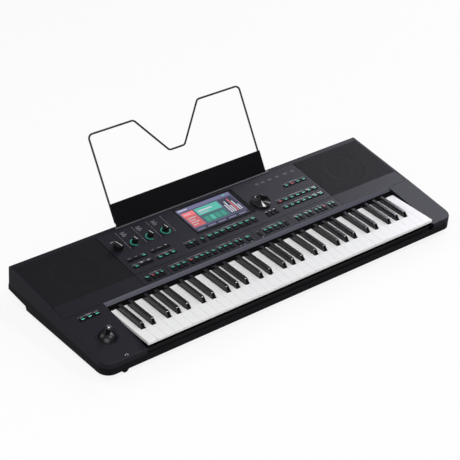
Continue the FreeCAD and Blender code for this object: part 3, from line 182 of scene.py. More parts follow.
# Joystick: the depth of its pivot, heights of the stick's collar and tip, and a radius round both.
# Its skirt: radii, first angle and span in degrees off the stick, rows, and half the width of the
# notches for the gimbal's pins.
PIVOT_DEPTH, COLLAR_LOW, COLLAR_HIGH, TIP_LOW, STICK_REACH = 19, 19.6, 21.0, 21.5, 6
SKIRT_OUTER, SKIRT_INNER, SKIRT_START, SKIRT_SPAN, SKIRT_ROWS = 22.95, 21.6, 67.5, 16.5, 5
NOTCH = 2.5

# Sockets at the rear, and the screws underneath with painted shade for their cross recesses.
REAR_Y, JACK_Z, JACKS = 310, 58, (70, 104, 138, 172, 206)
DATA_SOCKETS, TONGUE_Y, TONGUE_Z, TONGUE = (-70, -110), 304.5, 59.0, (10.0, 9.0, 1.6)
NUT = [(4.3, -0.1), (4.3, 1.0), (4.7, 1.5), (6.6, 1.5), (7.1, 1.0), (7.1, -0.1)]
SCREW_X, SCREW_ROWS, SCREW_TOP, CROSS_REACH, CROSS_HALF = 506.5, (-15, 105, 233), 14.6, 1.9, 0.45


# Shader maths

class Value:
    """A number that changes over the surface. Its operators add Math nodes."""

    def __init__(self, finish, socket):
        self.finish = finish
        self.socket = socket

    def __add__(self, other):
        return self.finish.math("ADD", self, other)

    def __sub__(self, other):
        return self.finish.math("SUBTRACT", self, other)

    def __rsub__(self, other):
        return self.finish.math("SUBTRACT", other, self)

    def __mul__(self, other):
        return self.finish.math("MULTIPLY", self, other)

    def __lt__(self, other):
        return self.finish.math("LESS_THAN", self, other)

    def __gt__(self, other):
        return self.finish.math("GREATER_THAN", self, other)

    def __abs__(self):
        return self.finish.math("ABSOLUTE", self)

    __radd__ = __add__
    __rmul__ = __mul__


class Finish:
    """A material in the making. Constants go straight onto the shader's sockets."""

    def __init__(self, name, **constants):
        self.material = bpy.data.materials.new(name)
        self.material.use_nodes = True
        self.tree = self.material.node_tree
        self.tree.nodes.clear()
        self.output = self.add("ShaderNodeOutputMaterial")
        self.shader = self.add("ShaderNodeBsdfPrincipled")
        self.set(**constants)
        self.tree.links.new(self.shader.outputs[0], self.output.inputs["Surface"])

    def add(self, kind, settings=None, inputs=None):
        """Adds a node: its settings first, then its sockets."""
        node = self.tree.nodes.new(kind)
        for key, value in (settings or {}).items():
            setattr(node, key, value)
        for key, value in (inputs or {}).items():
            self.feed(node.inputs[key], value)
        return node

    def feed(self, socket, value):
        if isinstance(value, Value):
            value = value.socket
        if isinstance(value, bpy.types.NodeSocket):
            self.tree.links.new(value, socket)
        else:
            socket.default_value = value

    def set(self, **sockets):
        """Feeds the shader, with a socket's name in small letters and _ for the spaces."""
        names = {socket.name.lower().replace(" ", "_"): socket for socket in self.shader.inputs}
        for key, value in sockets.items():
            self.feed(names[key], value)

    def given(self, name):
        """What feeds a socket of the shader so far."""
        return self.shader.inputs[name].links[0].from_socket

    def math(self, operation, *values):
        node = self.add("ShaderNodeMath", {"operation": operation}, dict(enumerate(values)))
        return Value(self, node.outputs[0])

    def inside(self, seat=None):
        """Object coordinates in the frame of a seat, as a vector."""
        vector = self.add("ShaderNodeTexCoord").outputs["Object"]
        if seat is None:
            return vector
        node = self.add("ShaderNodeMapping", {"vector_type": "TEXTURE"}, {
            "Vector": vector, "Location": seat.to_translation(), "Rotation": seat.to_euler()})
        return node.outputs[0]

    def axes(self, seat=None):
        node = self.add("ShaderNodeSeparateXYZ", None, {0: self.inside(seat)})
        return [Value(self, socket) for socket in node.outputs]

    def noise(self, scale, detail=2.0, stretch=None):
        vector = self.inside()
        if stretch:
            node = self.add("ShaderNodeMapping", None, {"Vector": vector, "Scale": stretch})
            vector = node.outputs[0]
        node = self.add("ShaderNodeTexNoise", None, {
            "Vector": vector, "Scale": scale, "Detail": detail})
        return Value(self, node.outputs["Fac"])

    def ramp(self, value, low, high):
        """0 below low, 1 above high."""
        node = self.add("ShaderNodeMapRange", {"clamp": True}, {
            "Value": value, "From Min": low, "From Max": high})
        return Value(self, node.outputs[0])

    def patch(self, x, y, rectangle):
        """1 inside a rectangle given as left, low, right, high in millimetres."""
        left, low, right, high = (edge * MM for edge in rectangle)
        across = abs(x - (left + right) / 2) < (right - left) / 2
        return across * (abs(y - (low + high) / 2) < (high - low) / 2)

    def radius(self, x, y):
        return self.math("SQRT", x * x + y * y)

    def mix(self, share, first, second):
        """A colour between two."""
        node = self.add("ShaderNodeMix", {"data_type": "RGBA"}, {
            0: share, 6: opaque(first), 7: opaque(second)})
        return node.outputs[2]

    def tint(self, share, first, second):
        """Sets a base colour between two."""
        self.set(base_color=self.mix(share, first, second))

    def over(self, share, colour):
        """Lays a share of a colour over the base colour."""
        self.tint(share, self.given("Base Color"), colour)

    def roughen(self, middle, *swings):
        """Sets a roughness about a middle, with pairs of a value from 0 to 1 and its swing."""
        self.set(roughness=sum(((value - 0.5) * swing for value, swing in swings), middle))

    def bump(self, height, distance, strength=1.0):
        node = self.add("ShaderNodeBump", None, {
            "Height": height, "Distance": distance * MM, "Strength": strength})
        self.set(normal=node.outputs[0])


# Finishes

def opaque(colour):
    """A colour of three numbers gets its fourth; a socket stays as it is."""
    if isinstance(colour, bpy.types.NodeSocket):
        return colour
    return (*colour[:3], 1.0)


def toned(colour, share):
    return tuple(channel * share for channel in colour[:3])


def moulded(name, colour, roughness, gloss=0.5, grain=1500.0, depth=0.04, contrast=0.14,
            **constants):
    """Moulded plastic: a fine texture from the tool, and a slow drift of tone."""
    finish = Finish(name, specular_ior_level=gloss, **constants)
    drift = finish.noise(14.0, 3.0)
    speck = finish.noise(grain)
    finish.tint(drift, toned(colour, 1 - contrast), toned(colour, 1 + contrast))
    finish.over(speck * 0.35, toned(colour, 0.6))
    finish.roughen(roughness, (speck, 0.12), (drift, 0.08))
    finish.bump(speck, depth)
    return finish


def plated(name, colour, roughness, brush=(1.0, 1.0, 12.0)):
    """Metal with fine lines from its working."""
    finish = Finish(name, metallic=1.0)
    line = finish.noise(900.0, 3.0, brush)
    finish.tint(line, toned(colour, 0.78), colour)
    finish.roughen(roughness, (line, 0.18))
    finish.bump(line, 0.01)
    return finish


def printed(name, colour, gloss=0.3):
    """Ink that breaks up a little, as small print does."""
    finish = Finish(name, specular_ior_level=gloss)
    gap = finish.noise(1400.0)
    finish.tint(finish.ramp(gap, 0.38, 0.55), toned(colour, 0.45), colour)
    finish.roughen(0.5, (gap, 0.2))
    return finish


def glowing(name, colour, strength):
    """A clear window over a light: brighter in patches, as a diode behind it is."""
    finish = Finish(name, emission_strength=strength, coat_weight=0.6, coat_roughness=0.1)
    glow = finish.noise(300.0, 1.0)
    finish.tint(glow, toned(colour, 0.15), toned(colour, 0.3))
    finish.set(emission_color=finish.mix(glow, toned(colour, 0.55), toned(colour, 1.35)))
    finish.roughen(0.3, (glow, 0.1))
    return finish


def dress(finish, *names):
    """Gives CAD nodes a finish. Their meshes stay as they are."""
    for name in names:
        materials = NODES[name].data.materials
        materials.clear()
        materials.append(finish.material)


def soften(names, width, segments=2, edge=None):
    """Rounds sharp edges of CAD nodes with modifiers. An edge finish goes on the rounded part."""
    for name in names:
        node = NODES[name]
        weld = node.modifiers.new("Join corners", "WELD")
        weld.merge_threshold = 0.005 * MM
        bevel = node.modifiers.new("Round edges", "BEVEL")
        bevel.width = width
        bevel.segments = segments
        bevel.limit_method = "ANGLE"
        bevel.angle_limit = radians(40)
        if edge:
            node.data.materials.append(edge.material)
            bevel.material = 1
        node.modifiers.new("Keep flats flat", "WEIGHTED_NORMAL")


# Objects and meshes

def placed(name, data):
    """An object of a mesh, lamp or camera, in the scene."""
    thing = bpy.data.objects.new(name, data)
    bpy.context.scene.collection.objects.link(thing)
    return thing


def formed(name, mesh, *finishes):
    """An object of a bmesh, with its finishes."""
    data = bpy.data.meshes.new(name)
    mesh.to_mesh(data)
    mesh.free()
    for finish in finishes:
        data.materials.append(finish.material)
    return placed(name, data)


def piece(name, mesh, body, slot, *finishes, sharp=None):
    """A piece on a body; its slot is not used. It is smooth where sharp gives an angle."""
    thing = formed(name, mesh, *finishes)
    if sharp:
        thing.data.polygons.foreach_set("use_smooth", [True] * len(thing.data.polygons))
        thing.data.set_sharp_from_angle(angle=radians(sharp))
    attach(thing, body)
    return thing


def linked(parts, kind):
    """What some vertices or faces are linked to, each once and in a fixed order."""
    return list(dict.fromkeys(other for part in parts for other in getattr(part, kind)))


def block(mesh, seat, centre, size, index=0, edge=0.0):
    """Adds a block in millimetres in a seat's frame, its edges rounded where edge is given."""
    size = Matrix.Diagonal((*(Vector(size) * MM), 1))
    place = seat @ Matrix.Translation(Vector(centre) * MM) @ size
    verts = bmesh.ops.create_cube(mesh, size=1.0, matrix=place)["verts"]
    for face in linked(verts, "link_faces"):
        face.material_index = index
    if edge:
        edges = linked(verts, "link_edges")
        bmesh.ops.bevel(mesh, geom=edges, offset=edge * MM, offset_type="OFFSET", segments=2,
                        profile=0.5, affect="EDGES", clamp_overlap=True, material=-1)


def turned(mesh, seat, outline, steps, index=0, closed=False):
    """Spins an outline of (radius, height) in millimetres about the seat's z axis."""
    verts = [mesh.verts.new((radius * MM, 0, height * MM)) for radius, height in outline]
    pairs = list(zip(verts, verts[1:]))
    if closed:
        pairs.append((verts[-1], verts[0]))
    edges = [mesh.edges.new(pair) for pair in pairs]
    before = set(mesh.faces)
    bmesh.ops.spin(mesh, geom=verts + edges, cent=(0, 0, 0), axis=(0, 0, 1), angle=tau, steps=steps,
                   use_merge=True, use_duplicate=False)
    faces = [face for face in mesh.faces if face not in before]
    bmesh.ops.remove_doubles(mesh, verts=linked(faces, "verts"), dist=0.001 * MM)
    faces = [face for face in mesh.faces if face not in before]
    bmesh.ops.recalc_face_normals(mesh, faces=faces)
    bmesh.ops.transform(mesh, matrix=seat, verts=linked(faces, "verts"))
    for face in faces:
        face.material_index = index
    return faces


def extruded(mesh, face, rise, share):
    """Raises a face by millimetres and scales it, and gives the new face."""
    made = bmesh.ops.extrude_face_region(mesh, geom=[face])["geom"]
    verts = [part for part in made if isinstance(part, bmesh.types.BMVert)]
    bmesh.ops.translate(mesh, verts=verts, vec=(0, 0, rise * MM))
    bmesh.ops.scale(mesh, verts=verts, vec=(share, share, 1))
    if face.is_valid:
        bmesh.ops.delete(mesh, geom=[face], context="FACES_ONLY")
    return next(part for part in made if isinstance(part, bmesh.types.BMFace))


def caps():
    """Every button cap: group, frame, place across and up, measures and window letter."""
    for group, (seat, runs, letters) in BUTTONS.items():
        window = iter(letters)
        for up, first, count, kind in runs:
            for number in range(count):
                cap = CAPS[kind]
                yield group, seat, first + number * cap.pitch, up, cap, next(window)


# Settings

def swatch(name, description, default):
    """A colour to choose."""
    return FloatVectorProperty(name=name, description=description, default=default,
                               subtype="COLOR", size=3)


def measure(name, description, default):
    """A length to choose, its default in millimetres."""
    return FloatProperty(name=name, description=description, default=default * MM, unit="LENGTH")


def amount(name, description, default, unit="NONE"):
    """A number to choose."""
    return FloatProperty(name=name, description=description, default=default, unit=unit)


class CaseSettings(PropertyGroup):
    upper: swatch("Upper case", "Colour of the upper case and cheeks", (0.0075, 0.0075, 0.0122))
    lower: swatch("Lower case", "Colour of the lower case", (0.0055, 0.0055, 0.0068))
    panel: swatch("Panel", "Colour of the control panel", (0.0092, 0.0092, 0.0150))
    bevel: swatch("Shoulder", "Colour of the slope behind the keys", (0.085, 0.085, 0.108))
    roughness: FloatProperty(name="Roughness", description="Roughness of the moulded plastic",
                             subtype="FACTOR", min=0, max=1, default=0.46)


class GrilleSettings(PropertyGroup):
    cloth: swatch("Cloth", "Colour of the grille cloth's threads", (0.0042, 0.0041, 0.0054))
    pitch: measure("Thread pitch", "Distance from thread to thread", 1.5)
    sink: measure("Sink", "How far the cloth sinks over a speaker's mouth", 0.35)


class KeySettings(PropertyGroup):
    white: swatch("White keys", "Colour of the white keys", (0.82, 0.82, 0.81))
    black: swatch("Black keys", "Colour of the black keys", (0.0055, 0.0055, 0.0068))
    # The black keys' edge colour is paler than the keys: a painted sheen on their chamfers.
    painted_edge_sheen: swatch("Black key edge", "Colour of the painted sheen on the black keys' edges",
                 (0.012, 0.012, 0.014))
    edge: measure("Edge", "Rounding of the white keys' edges", 0.4)
    chamfer: measure("Chamfer", "Width of the black keys' bevelled edges", 1.2)


class ButtonSettings(PropertyGroup):
    cap: swatch("Cap", "Colour of the button caps", (0.0045, 0.0045, 0.0054))
    teal: swatch("Teal window", "Colour of a teal window's light", (0.035, 0.42, 0.30))
    red: swatch("Red window", "Colour of a red window's light", (0.50, 0.045, 0.07))
    edge: measure("Edge", "Rounding of the caps' edges", 0.5)
    strength: amount("Strength", "Strength of the windows' light", 1.1)


class PrintSettings(PropertyGroup):
    ink: swatch("Ink", "Colour of the printed bars and lines", (0.40, 0.40, 0.43))
    dim: swatch("Dim ink", "Colour of the small fields at the top right", (0.11, 0.11, 0.125))
    bright: swatch("Bright ink", "Colour of the brightest marks", (0.88, 0.88, 0.90))
    line: measure("Line", "Width of the printed lines", 0.45)
    height: measure("Bar", "Height of the printed bars", 1.5)


class KnobSettings(PropertyGroup):
    body: swatch("Knob", "Colour of the knobs", (0.0050, 0.0050, 0.0055))
    pointer: swatch("Pointer", "Colour of the pointers", (0.72, 0.72, 0.74))
    flute: measure("Flute", "Depth of the flutes", 0.45)
    ring_count: IntProperty(name="Ring lights", default=16,
                            description="Places for lights round a control knob")


class ScreenSettings(PropertyGroup):
    ground: swatch("Ground", "Colour of the screen's ground", (0.105, 0.105, 0.185))
    teal: swatch("Teal", "Colour of the teal fields", (0.115, 0.52, 0.43))
    coral: swatch("Coral", "Colour of the coral fields", (0.72, 0.17, 0.18))
    strength: amount("Strength", "Strength of the screen's light", 0.95)


class StageSettings(PropertyGroup):
    floor: swatch("Floor", "Colour of the floor", (0.90, 0.90, 0.90))
    key: amount("Key light", "Power of the soft light behind at the right", 48.0, "POWER")
    fill: amount("Fill light", "Power of the soft light in front at the left", 60.0, "POWER")
    rim: amount("Rim light", "Power of the light behind at the left", 16.0, "POWER")
    top: amount("Top light", "Power of the light above at the right", 18.0, "POWER")
    sky: amount("Sky", "Strength of the light from all round", 0.2)
    lens: amount("Lens", "Focal length on a 36 mm sensor", 122.9, "CAMERA")


# Pieces

class KEYBOARD_OT_dress_case(Operator):
    """Finishes the two halves of the case, with the pale slope behind the keys"""
    bl_idname = "keyboard.dress_case"
    bl_label = "Case"

    def execute(self, context):
        case = context.scene.keyboard_case
        upper = moulded("Upper case plastic", case.upper, case.roughness, gloss=0.0,
                        coat_ior=1.32, coat_roughness=case.roughness)
        x, y, z = upper.axes()
        top = upper.math("MAXIMUM", upper.axes(PANEL)[2], upper.axes(CHEEK)[2])
        upper.set(coat_weight=upper.ramp(top, -2.4 * MM, -1.0 * MM) * 0.65 + 0.35)
        within = abs(x - KEYS_MIDDLE * MM) < SLOPE_REACH * MM
        upper.over(upper.patch(y, z, SLOPE) * within, case.bevel)
        dress(upper, "upper_case")
        lower = moulded("Lower case plastic", case.lower, case.roughness + 0.06, gloss=0.03)
        dress(lower, "lower_case")
        return {"FINISHED"}


class KEYBOARD_OT_stretch_grilles(Operator):
    """Stretches a cloth over each speaker in place of the plain grilles"""
    bl_idname = "keyboard.stretch_grilles"
    bl_label = "Speaker grilles"

    def execute(self, context):
        grille = context.scene.keyboard_grille
        cloth = self.weave(grille)
        for name, (left, right, mouth) in CLOTHS.items():
            wide, high = right - left, CLOTH_HIGH - CLOTH_LOW
            mesh = bmesh.new()
            field = seated(PART, (left + right) / 2, (CLOTH_LOW + CLOTH_HIGH) / 2)
            field = field @ Matrix.Diagonal((wide * MM / 2, high * MM / 2, 1, 1))
            bmesh.ops.create_grid(mesh, x_segments=72, y_segments=50, size=1.0, matrix=field)
            for vert in mesh.verts:
                away = (vert.co.xy - Vector((mouth * MM, MOUTH_UP * MM))).length
                share = min(1.0, max(0.0, (MOUTH_RADIUS * MM - away) / (SINK_WIDTH * MM)))
                vert.co.z -= grille.sink * share * share * (3 - 2 * share)
            rim = [edge for edge in mesh.edges if edge.is_boundary]
            skirt = bmesh.ops.extrude_edge_only(mesh, edges=rim)["geom"]
            corners = [part for part in skirt if isinstance(part, bmesh.types.BMVert)]
            bmesh.ops.translate(mesh, verts=corners, vec=(0, 0, -CLOTH_EDGE * MM))
            bmesh.ops.recalc_face_normals(mesh, faces=mesh.faces)
            bmesh.ops.transform(mesh, matrix=PANEL, verts=mesh.verts)
            sheet = piece(name, mesh, "case", "grille_cloth", cloth)
            (wide + 2 * CLOTH_EDGE) * MM
            (high + 2 * CLOTH_EDGE) * MM
            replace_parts(sheet, "speaker_grilles")
        return {"FINISHED"}

    def weave(self, grille):
        """Cloth of crossed threads, with painted shade over a mouth and a painted highlight at its
        rim.
        """
        cloth = Finish("Grille cloth", specular_ior_level=0.17)
        x, up, _ = cloth.axes(PANEL)
        warp = cloth.math("SINE", x * (tau / grille.pitch))
        weft = cloth.math("SINE", up * (tau / grille.pitch))
        thread = cloth.ramp(warp * weft, -1.0, 1.0)
        slub = cloth.noise(220.0, 3.0, (1.0, 0.25, 1.0))
        # Over a mouth the cloth gets painted shade from the hollow behind it, and a painted highlight
        # round the mouth's rim.
        away = cloth.radius(abs(x) - MOUTH_X * MM, up - MOUTH_UP * MM)
        rim = 1 - cloth.ramp(abs(away - (MOUTH_RADIUS - 1) * MM), 0.4 * MM, 2.2 * MM)
        painted_hollow_shade = 1 - cloth.ramp(away, (MOUTH_RADIUS - 3) * MM, MOUTH_RADIUS * MM)
        cloth.tint(thread, toned(grille.cloth, 0.45), toned(grille.cloth, 1.5))
        cloth.over(slub * 0.3, toned(grille.cloth, 0.55))
        cloth.over(painted_hollow_shade * 0.12, toned(grille.cloth, 0.3))
        cloth.over(rim * 0.16, toned(grille.cloth, 2.2))
        cloth.roughen(0.58, (slub, 0.2))
        cloth.bump(thread, 0.12, 0.8)
        return cloth


class KEYBOARD_OT_lay_felts(Operator):
    """Lays the felt that the keys land on, and the strip that covers their rear"""
    bl_idname = "keyboard.lay_felts"
    bl_label = "Felts"

    def execute(self, context):
        felt = Finish("Key felt", specular_ior_level=0.03)
        fibre = felt.noise(2600.0, 5.0, (1.0, 0.35, 1.0))
        clump = felt.noise(160.0, 3.0)
        felt.tint(fibre, (0.0012, 0.0012, 0.0012), (0.0035, 0.0035, 0.0035))
        felt.over(clump * 0.4, (0.0016, 0.0016, 0.0016))
        felt.roughen(0.85, (fibre, 0.2))
        felt.bump(fibre, 0.15)
        for name, (low, high) in FELTS.items():
            low, high = Vector(low), Vector(high)
            mesh = bmesh.new()
            block(mesh, PART, (low + high) / 2, high - low, edge=min(0.9, (high.z - low.z) * 0.3))
            strip = piece(name, mesh, "case", "felt", felt)
            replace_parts(strip, "key_felts")
        return {"FINISHED"}


class KEYBOARD_OT_dress_keys(Operator):
    """Finishes the white and black keys and rounds their edges"""
    bl_idname = "keyboard.dress_keys"
    bl_label = "Keys"

    def execute(self, context):
        keys = context.scene.keyboard_keys
        white = Finish("White key plastic", specular_ior_level=0.4)
        scuff = white.noise(420.0, 4.0, (1.0, 0.12, 1.0))
        # The white keys' lip is darkened below a height: painted shade on their front faces.
        painted_lip_shade = 1 - white.ramp(white.axes()[2], LIP_SHADE_LOW * MM, LIP_SHADE_HIGH * MM)
        white.tint(white.noise(9.0), toned(keys.white, 0.97), keys.white)
        white.over(painted_lip_shade * 0.45, toned(keys.white, 0.5))
        white.over(scuff * 0.05, toned(keys.white, 0.8))
        white.roughen(0.30, (scuff, 0.12))
        white.bump(scuff, 0.008)
        dress(white, *WHITE_KEYS)
        soften(WHITE_KEYS, keys.edge)
        black = moulded("Black key plastic", keys.black, 0.24, gloss=0.05, grain=2400.0,
                        depth=0.001, coat_ior=1.5, coat_roughness=0.24)
        _, y, z = black.axes()
        behind = y - NOSE_Y * MM - (z - NOSE_Z * MM) * NOSE_LEAN
        black.set(coat_weight=behind > 0.5 * MM)
        # The chamfers get a paler colour, a painted sheen along the black keys' edges; their coat
        # glints most at the front.
        painted_edge_sheen = moulded("Black key edge", keys.painted_edge_sheen, 0.28, grain=2400.0, depth=0.001, contrast=0.3,
                       coat_ior=2.2, coat_roughness=0.2)
        _, y, z = painted_edge_sheen.axes()
        shine = (y < SHINE_END * MM) * 0.78 + 0.22
        painted_edge_sheen.set(coat_weight=painted_edge_sheen.ramp(z, SHINE_LOW * MM, SHINE_HIGH * MM) * shine)
        dress(black, *BLACK_KEYS)
        soften(BLACK_KEYS, keys.chamfer, 1, painted_edge_sheen)
        return {"FINISHED"}


class KEYBOARD_OT_dress_panel(Operator):
    """Finishes the control panel"""
    bl_idname = "keyboard.dress_panel"
    bl_label = "Control panel"

    def execute(self, context):
        case = context.scene.keyboard_case
        panel = moulded("Panel plastic", case.panel, case.roughness - 0.02, gloss=0.28,
                        grain=1900.0, depth=0.03)
        field = panel.ramp(panel.axes(PANEL)[1], (STRIP_JOINT - 0.2) * MM, (STRIP_JOINT + 0.2) * MM)
        panel.over((1 - field) * 0.35, toned(case.panel, 0.6))
        dress(panel, "control_panel")
        return {"FINISHED"}


class KEYBOARD_OT_print_panel(Operator):
    """Prints plain bars and lines on the panel and left cheek, and paints shadow in its joints"""
    bl_idname = "keyboard.print_panel"
    bl_label = "Panel print"

    def execute(self, context):
        ink = context.scene.keyboard_print
        layers = [printed("Grey print", ink.ink), printed("Bright print", ink.bright),
                  printed("Dim print", ink.dim),
                  printed("Joint shadow", (0.002, 0.002, 0.0025), 0.0)]
        self.mesh = bmesh.new()
        self.line = ink.line / MM
        self.bar = ink.height / MM
        self.label_caps()
        self.bracket_groups()
        self.mark_knobs()
        self.mark_sheet()
        self.paint_joint_shadows()
        piece("panel_print", self.mesh, "case", "panel", *layers)
        return {"FINISHED"}

    def stroke(self, seat, x, up, width, depth, layer=GREY):
        block(self.mesh, seat, (x, up, INK_MIDDLE), (width, depth, INK_THICKNESS), layer)

    def label_caps(self):
        """A short bar above each cap, of a length that differs from one to the next."""
        for number, (group, seat, x, up, cap, _) in enumerate(caps()):
            start, end = BRIGHT_LABELS.get(group, (0, 0))
            shine = start < x < end
            length = cap.width * (0.75 if shine else LABEL_LENGTHS[number % len(LABEL_LENGTHS)])
            tall = self.bar * (1.3 if group == "voice" and shine else 0.72)
            layer = BRIGHT if shine else GREY
            self.stroke(seat, x, up + cap.depth / 2 + cap.label, length, tall, layer)

    def bracket_groups(self):
        """A line over each run of caps, broken in its middle by the run's title bar."""
        for group, (seat, runs, _) in BUTTONS.items():
            for up, first, count, kind in runs:
                plain = group == "value" or up == BACK and group in ("setup", "memory")
                if count < 2 or plain:
                    continue
                cap = CAPS[kind]
                left = first - cap.width / 2
                right = first + (count - 1) * cap.pitch + cap.width / 2
                rise = up + cap.depth / 2 + cap.bracket
                title = (right - left) * TITLE_SHARE
                middle = (left + right) / 2
                arm = (right - left - title) / 2 - TITLE_GAP
                for side in (-1, 1):
                    reach = side * (title / 2 + TITLE_GAP + arm / 2)
                    self.stroke(seat, middle + reach, rise, arm, self.line)
                    end = middle + side * ((right - left) / 2)
                    self.stroke(seat, end, rise - BRACKET_DROP, self.line, BRACKET_FOOT)
                self.stroke(seat, middle, rise, title, self.bar * 0.8)

    def mark_knobs(self):
        """Upright lines between the knobs, a stack of bars beside each, and a bar at the volume."""
        low, high, dot = 120, 179, 1.3
        title, left, top, pitch = 24, -13, 41, 4.2
        for x in (-245.4, -200.5, -159.7, -118.6):
            self.stroke(PANEL, x, (low + high) / 2, self.line, high - low)
            for end in (low, high):
                self.stroke(PANEL, x, end, dot, dot)
        for name, knob in KNOBS.items():
            if name == "volume_knob":
                self.stroke(PANEL, knob.x, knob.up + title, 11, self.bar)
                continue
            for number, length in enumerate((12, 9, 13, 8)):
                x, up = knob.x + left + length / 2, knob.up + top - number * pitch
                self.stroke(PANEL, x, up, length, self.bar * 0.8)

    def mark_sheet(self):
        """Fields at the top right, bars under four caps, bright dots and the headphone mark."""
        field, line, bar = 166, 161.4, 4
        for x, width in ((163, 9), (181, 11), (203, 12), (227, 10), (253, 13), (276, 9)):
            self.stroke(PANEL, x, field, width, 4.2, DIM)
            self.stroke(PANEL, x, line, width * 0.7, 1.0, DIM)
        for x in (-19.5, -8.8, 13.7, 47.4):
            self.stroke(PANEL, x, bar, 5, self.bar * 0.8)
        for x, up in ((-253.5, 69.3), (-233.8, 69.3), (-168.9, 92.8)):
            self.stroke(PANEL, x, up, 2.2, 1.6, BRIGHT)
        arch = seated(CHEEK, -456, -151)
        for number in range(9):
            self.stroke(spun(arch, 22.5 * number), 2.9, 0, 0.5, 1.3, BRIGHT)
        for side in (-1, 1):
            self.stroke(arch, side * 2.8, -1.1, 1.2, 2.4, BRIGHT)

    def paint_joint_shadows(self):
        """Painted shadow in the joints round the panel and between its front strip's fields."""
        left, right = SIDE_JOINTS
        field, field_length, strip, strip_length = 114, 146, 20.8, 38
        for x in SIDE_JOINTS:
            self.stroke(PANEL, x, field, 1.0, field_length, JOINT_SHADOW)
        for x in (left, -218.7, 31.5, 146.0, right):
            self.stroke(PANEL, x, strip, 0.8, strip_length, JOINT_SHADOW)
        self.stroke(PANEL, 2, STRIP_JOINT, 590, 0.8, JOINT_SHADOW)


class KEYBOARD_OT_dress_buttons(Operator):
    """Finishes the button caps and sets their lit windows"""
    bl_idname = "keyboard.dress_buttons"
    bl_label = "Buttons"

    def execute(self, context):
        buttons = context.scene.keyboard_buttons
        plastic = moulded("Button plastic", buttons.cap, 0.36, gloss=0.12, grain=2600.0, depth=0.01)
        dress(plastic, *CAP_NODES)
        soften(CAP_NODES, buttons.edge)
        lights = [glowing("Teal window", buttons.teal, buttons.strength),
                  glowing("Red window", buttons.red, buttons.strength)]
        meshes = {group: bmesh.new() for group in BUTTONS}
        for group, seat, x, up, cap, letter in caps():
            if letter == "-":
                continue
            centre = (x, up + cap.window_up, CAP_TOP)
            size = (cap.window_width, cap.window_depth, WINDOW_THICKNESS)
            block(meshes[group], seat, centre, size, "tr".index(letter), 0.2)
        for group, mesh in meshes.items():
            if mesh.faces:
                piece(group + "_windows", mesh, group + "_buttons", "button", *lights)
            else:
                mesh.free()
        return {"FINISHED"}


class KEYBOARD_OT_turn_knobs(Operator):
    """Makes the fluted knobs with their pointers, and the lights round the control knobs"""
    bl_idname = "keyboard.turn_knobs"
    bl_label = "Knobs"

    def execute(self, context):
        knobs = context.scene.keyboard_knobs
        buttons = context.scene.keyboard_buttons
        plastic = moulded("Knob plastic", knobs.body, 0.40, gloss=0.2, grain=2800.0, depth=0.008)
        pointer = moulded("Pointer ink", knobs.pointer, 0.4, depth=0.005, contrast=0.05)
        lights = bmesh.new()
        for name, knob in KNOBS.items():
            seat = seated(PANEL, knob.x, knob.up)
            mesh = bmesh.new()
            self.flute(mesh, knob, knobs.flute / MM)
            self.point(mesh, knob)
            bmesh.ops.transform(mesh, matrix=seat, verts=mesh.verts)
            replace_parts(piece(name + "_fluted", mesh, name, "knob", plastic, pointer), name)
            for number in range(knob.lit):
                spot = spun(seat, FIRST_LIGHT + 360 * number / knobs.ring_count)
                block(lights, spot, (LIGHT_RADIUS, 0, 0.02), (1.9, 2.9, 0.2), edge=0.08)
        glow = glowing("Ring light", buttons.teal, buttons.strength)
        piece("ring_lights", lights, "case", "light_ring", glow)
        lens = moulded("Ring lens", (0.016, 0.018, 0.018), 0.28, depth=0.01, coat_weight=0.5)
        dress(lens, "led_rings")
        return {"FINISHED"}

    def flute(self, mesh, knob, depth):
        """A knob with a smooth skirt, flutes up its side and a dished top."""
        gap, skirt, step, crown = 0.4, 1.8, 0.4, 0.9
        bmesh.ops.create_circle(mesh, cap_ends=True, segments=knob.flutes * 4,
                                radius=knob.radius * MM)
        foot = next(iter(mesh.faces))
        bmesh.ops.translate(mesh, verts=mesh.verts, vec=(0, 0, gap * MM))
        ring = list(foot.verts)
        side = extruded(mesh, foot, skirt, 1.0)
        side = extruded(mesh, side, step, 1 - 0.5 / knob.radius)
        drawn = [vert for number, vert in enumerate(side.verts) if number % 4 in (0, 1)]
        share = 1 - depth / knob.radius
        bmesh.ops.scale(mesh, verts=drawn, vec=(share, share, 1))
        height = knob.height - gap - skirt - step - crown
        for rise, inset in ((height, 0.3), (0.6, 0.35), (0.3, 0.6), (0.0, 0.5), (-0.25, 0.5)):
            side = extruded(mesh, side, rise, 1 - inset / knob.radius)
        mesh.faces.new(ring)
        bmesh.ops.recalc_face_normals(mesh, faces=mesh.faces)

    def point(self, mesh, knob):
        """The pointer: a bar across the top, and one down the side."""
        spot = spun(PART, POINTER_TURN)
        tall = knob.height * 0.55
        block(mesh, spot, (0, 0, knob.height - 0.1), (1.4, knob.radius * 1.5, 0.5), 1, 0.15)
        block(mesh, spot, (0, knob.radius - 0.62, tall), (1.1, 0.7, tall), 1, 0.15)


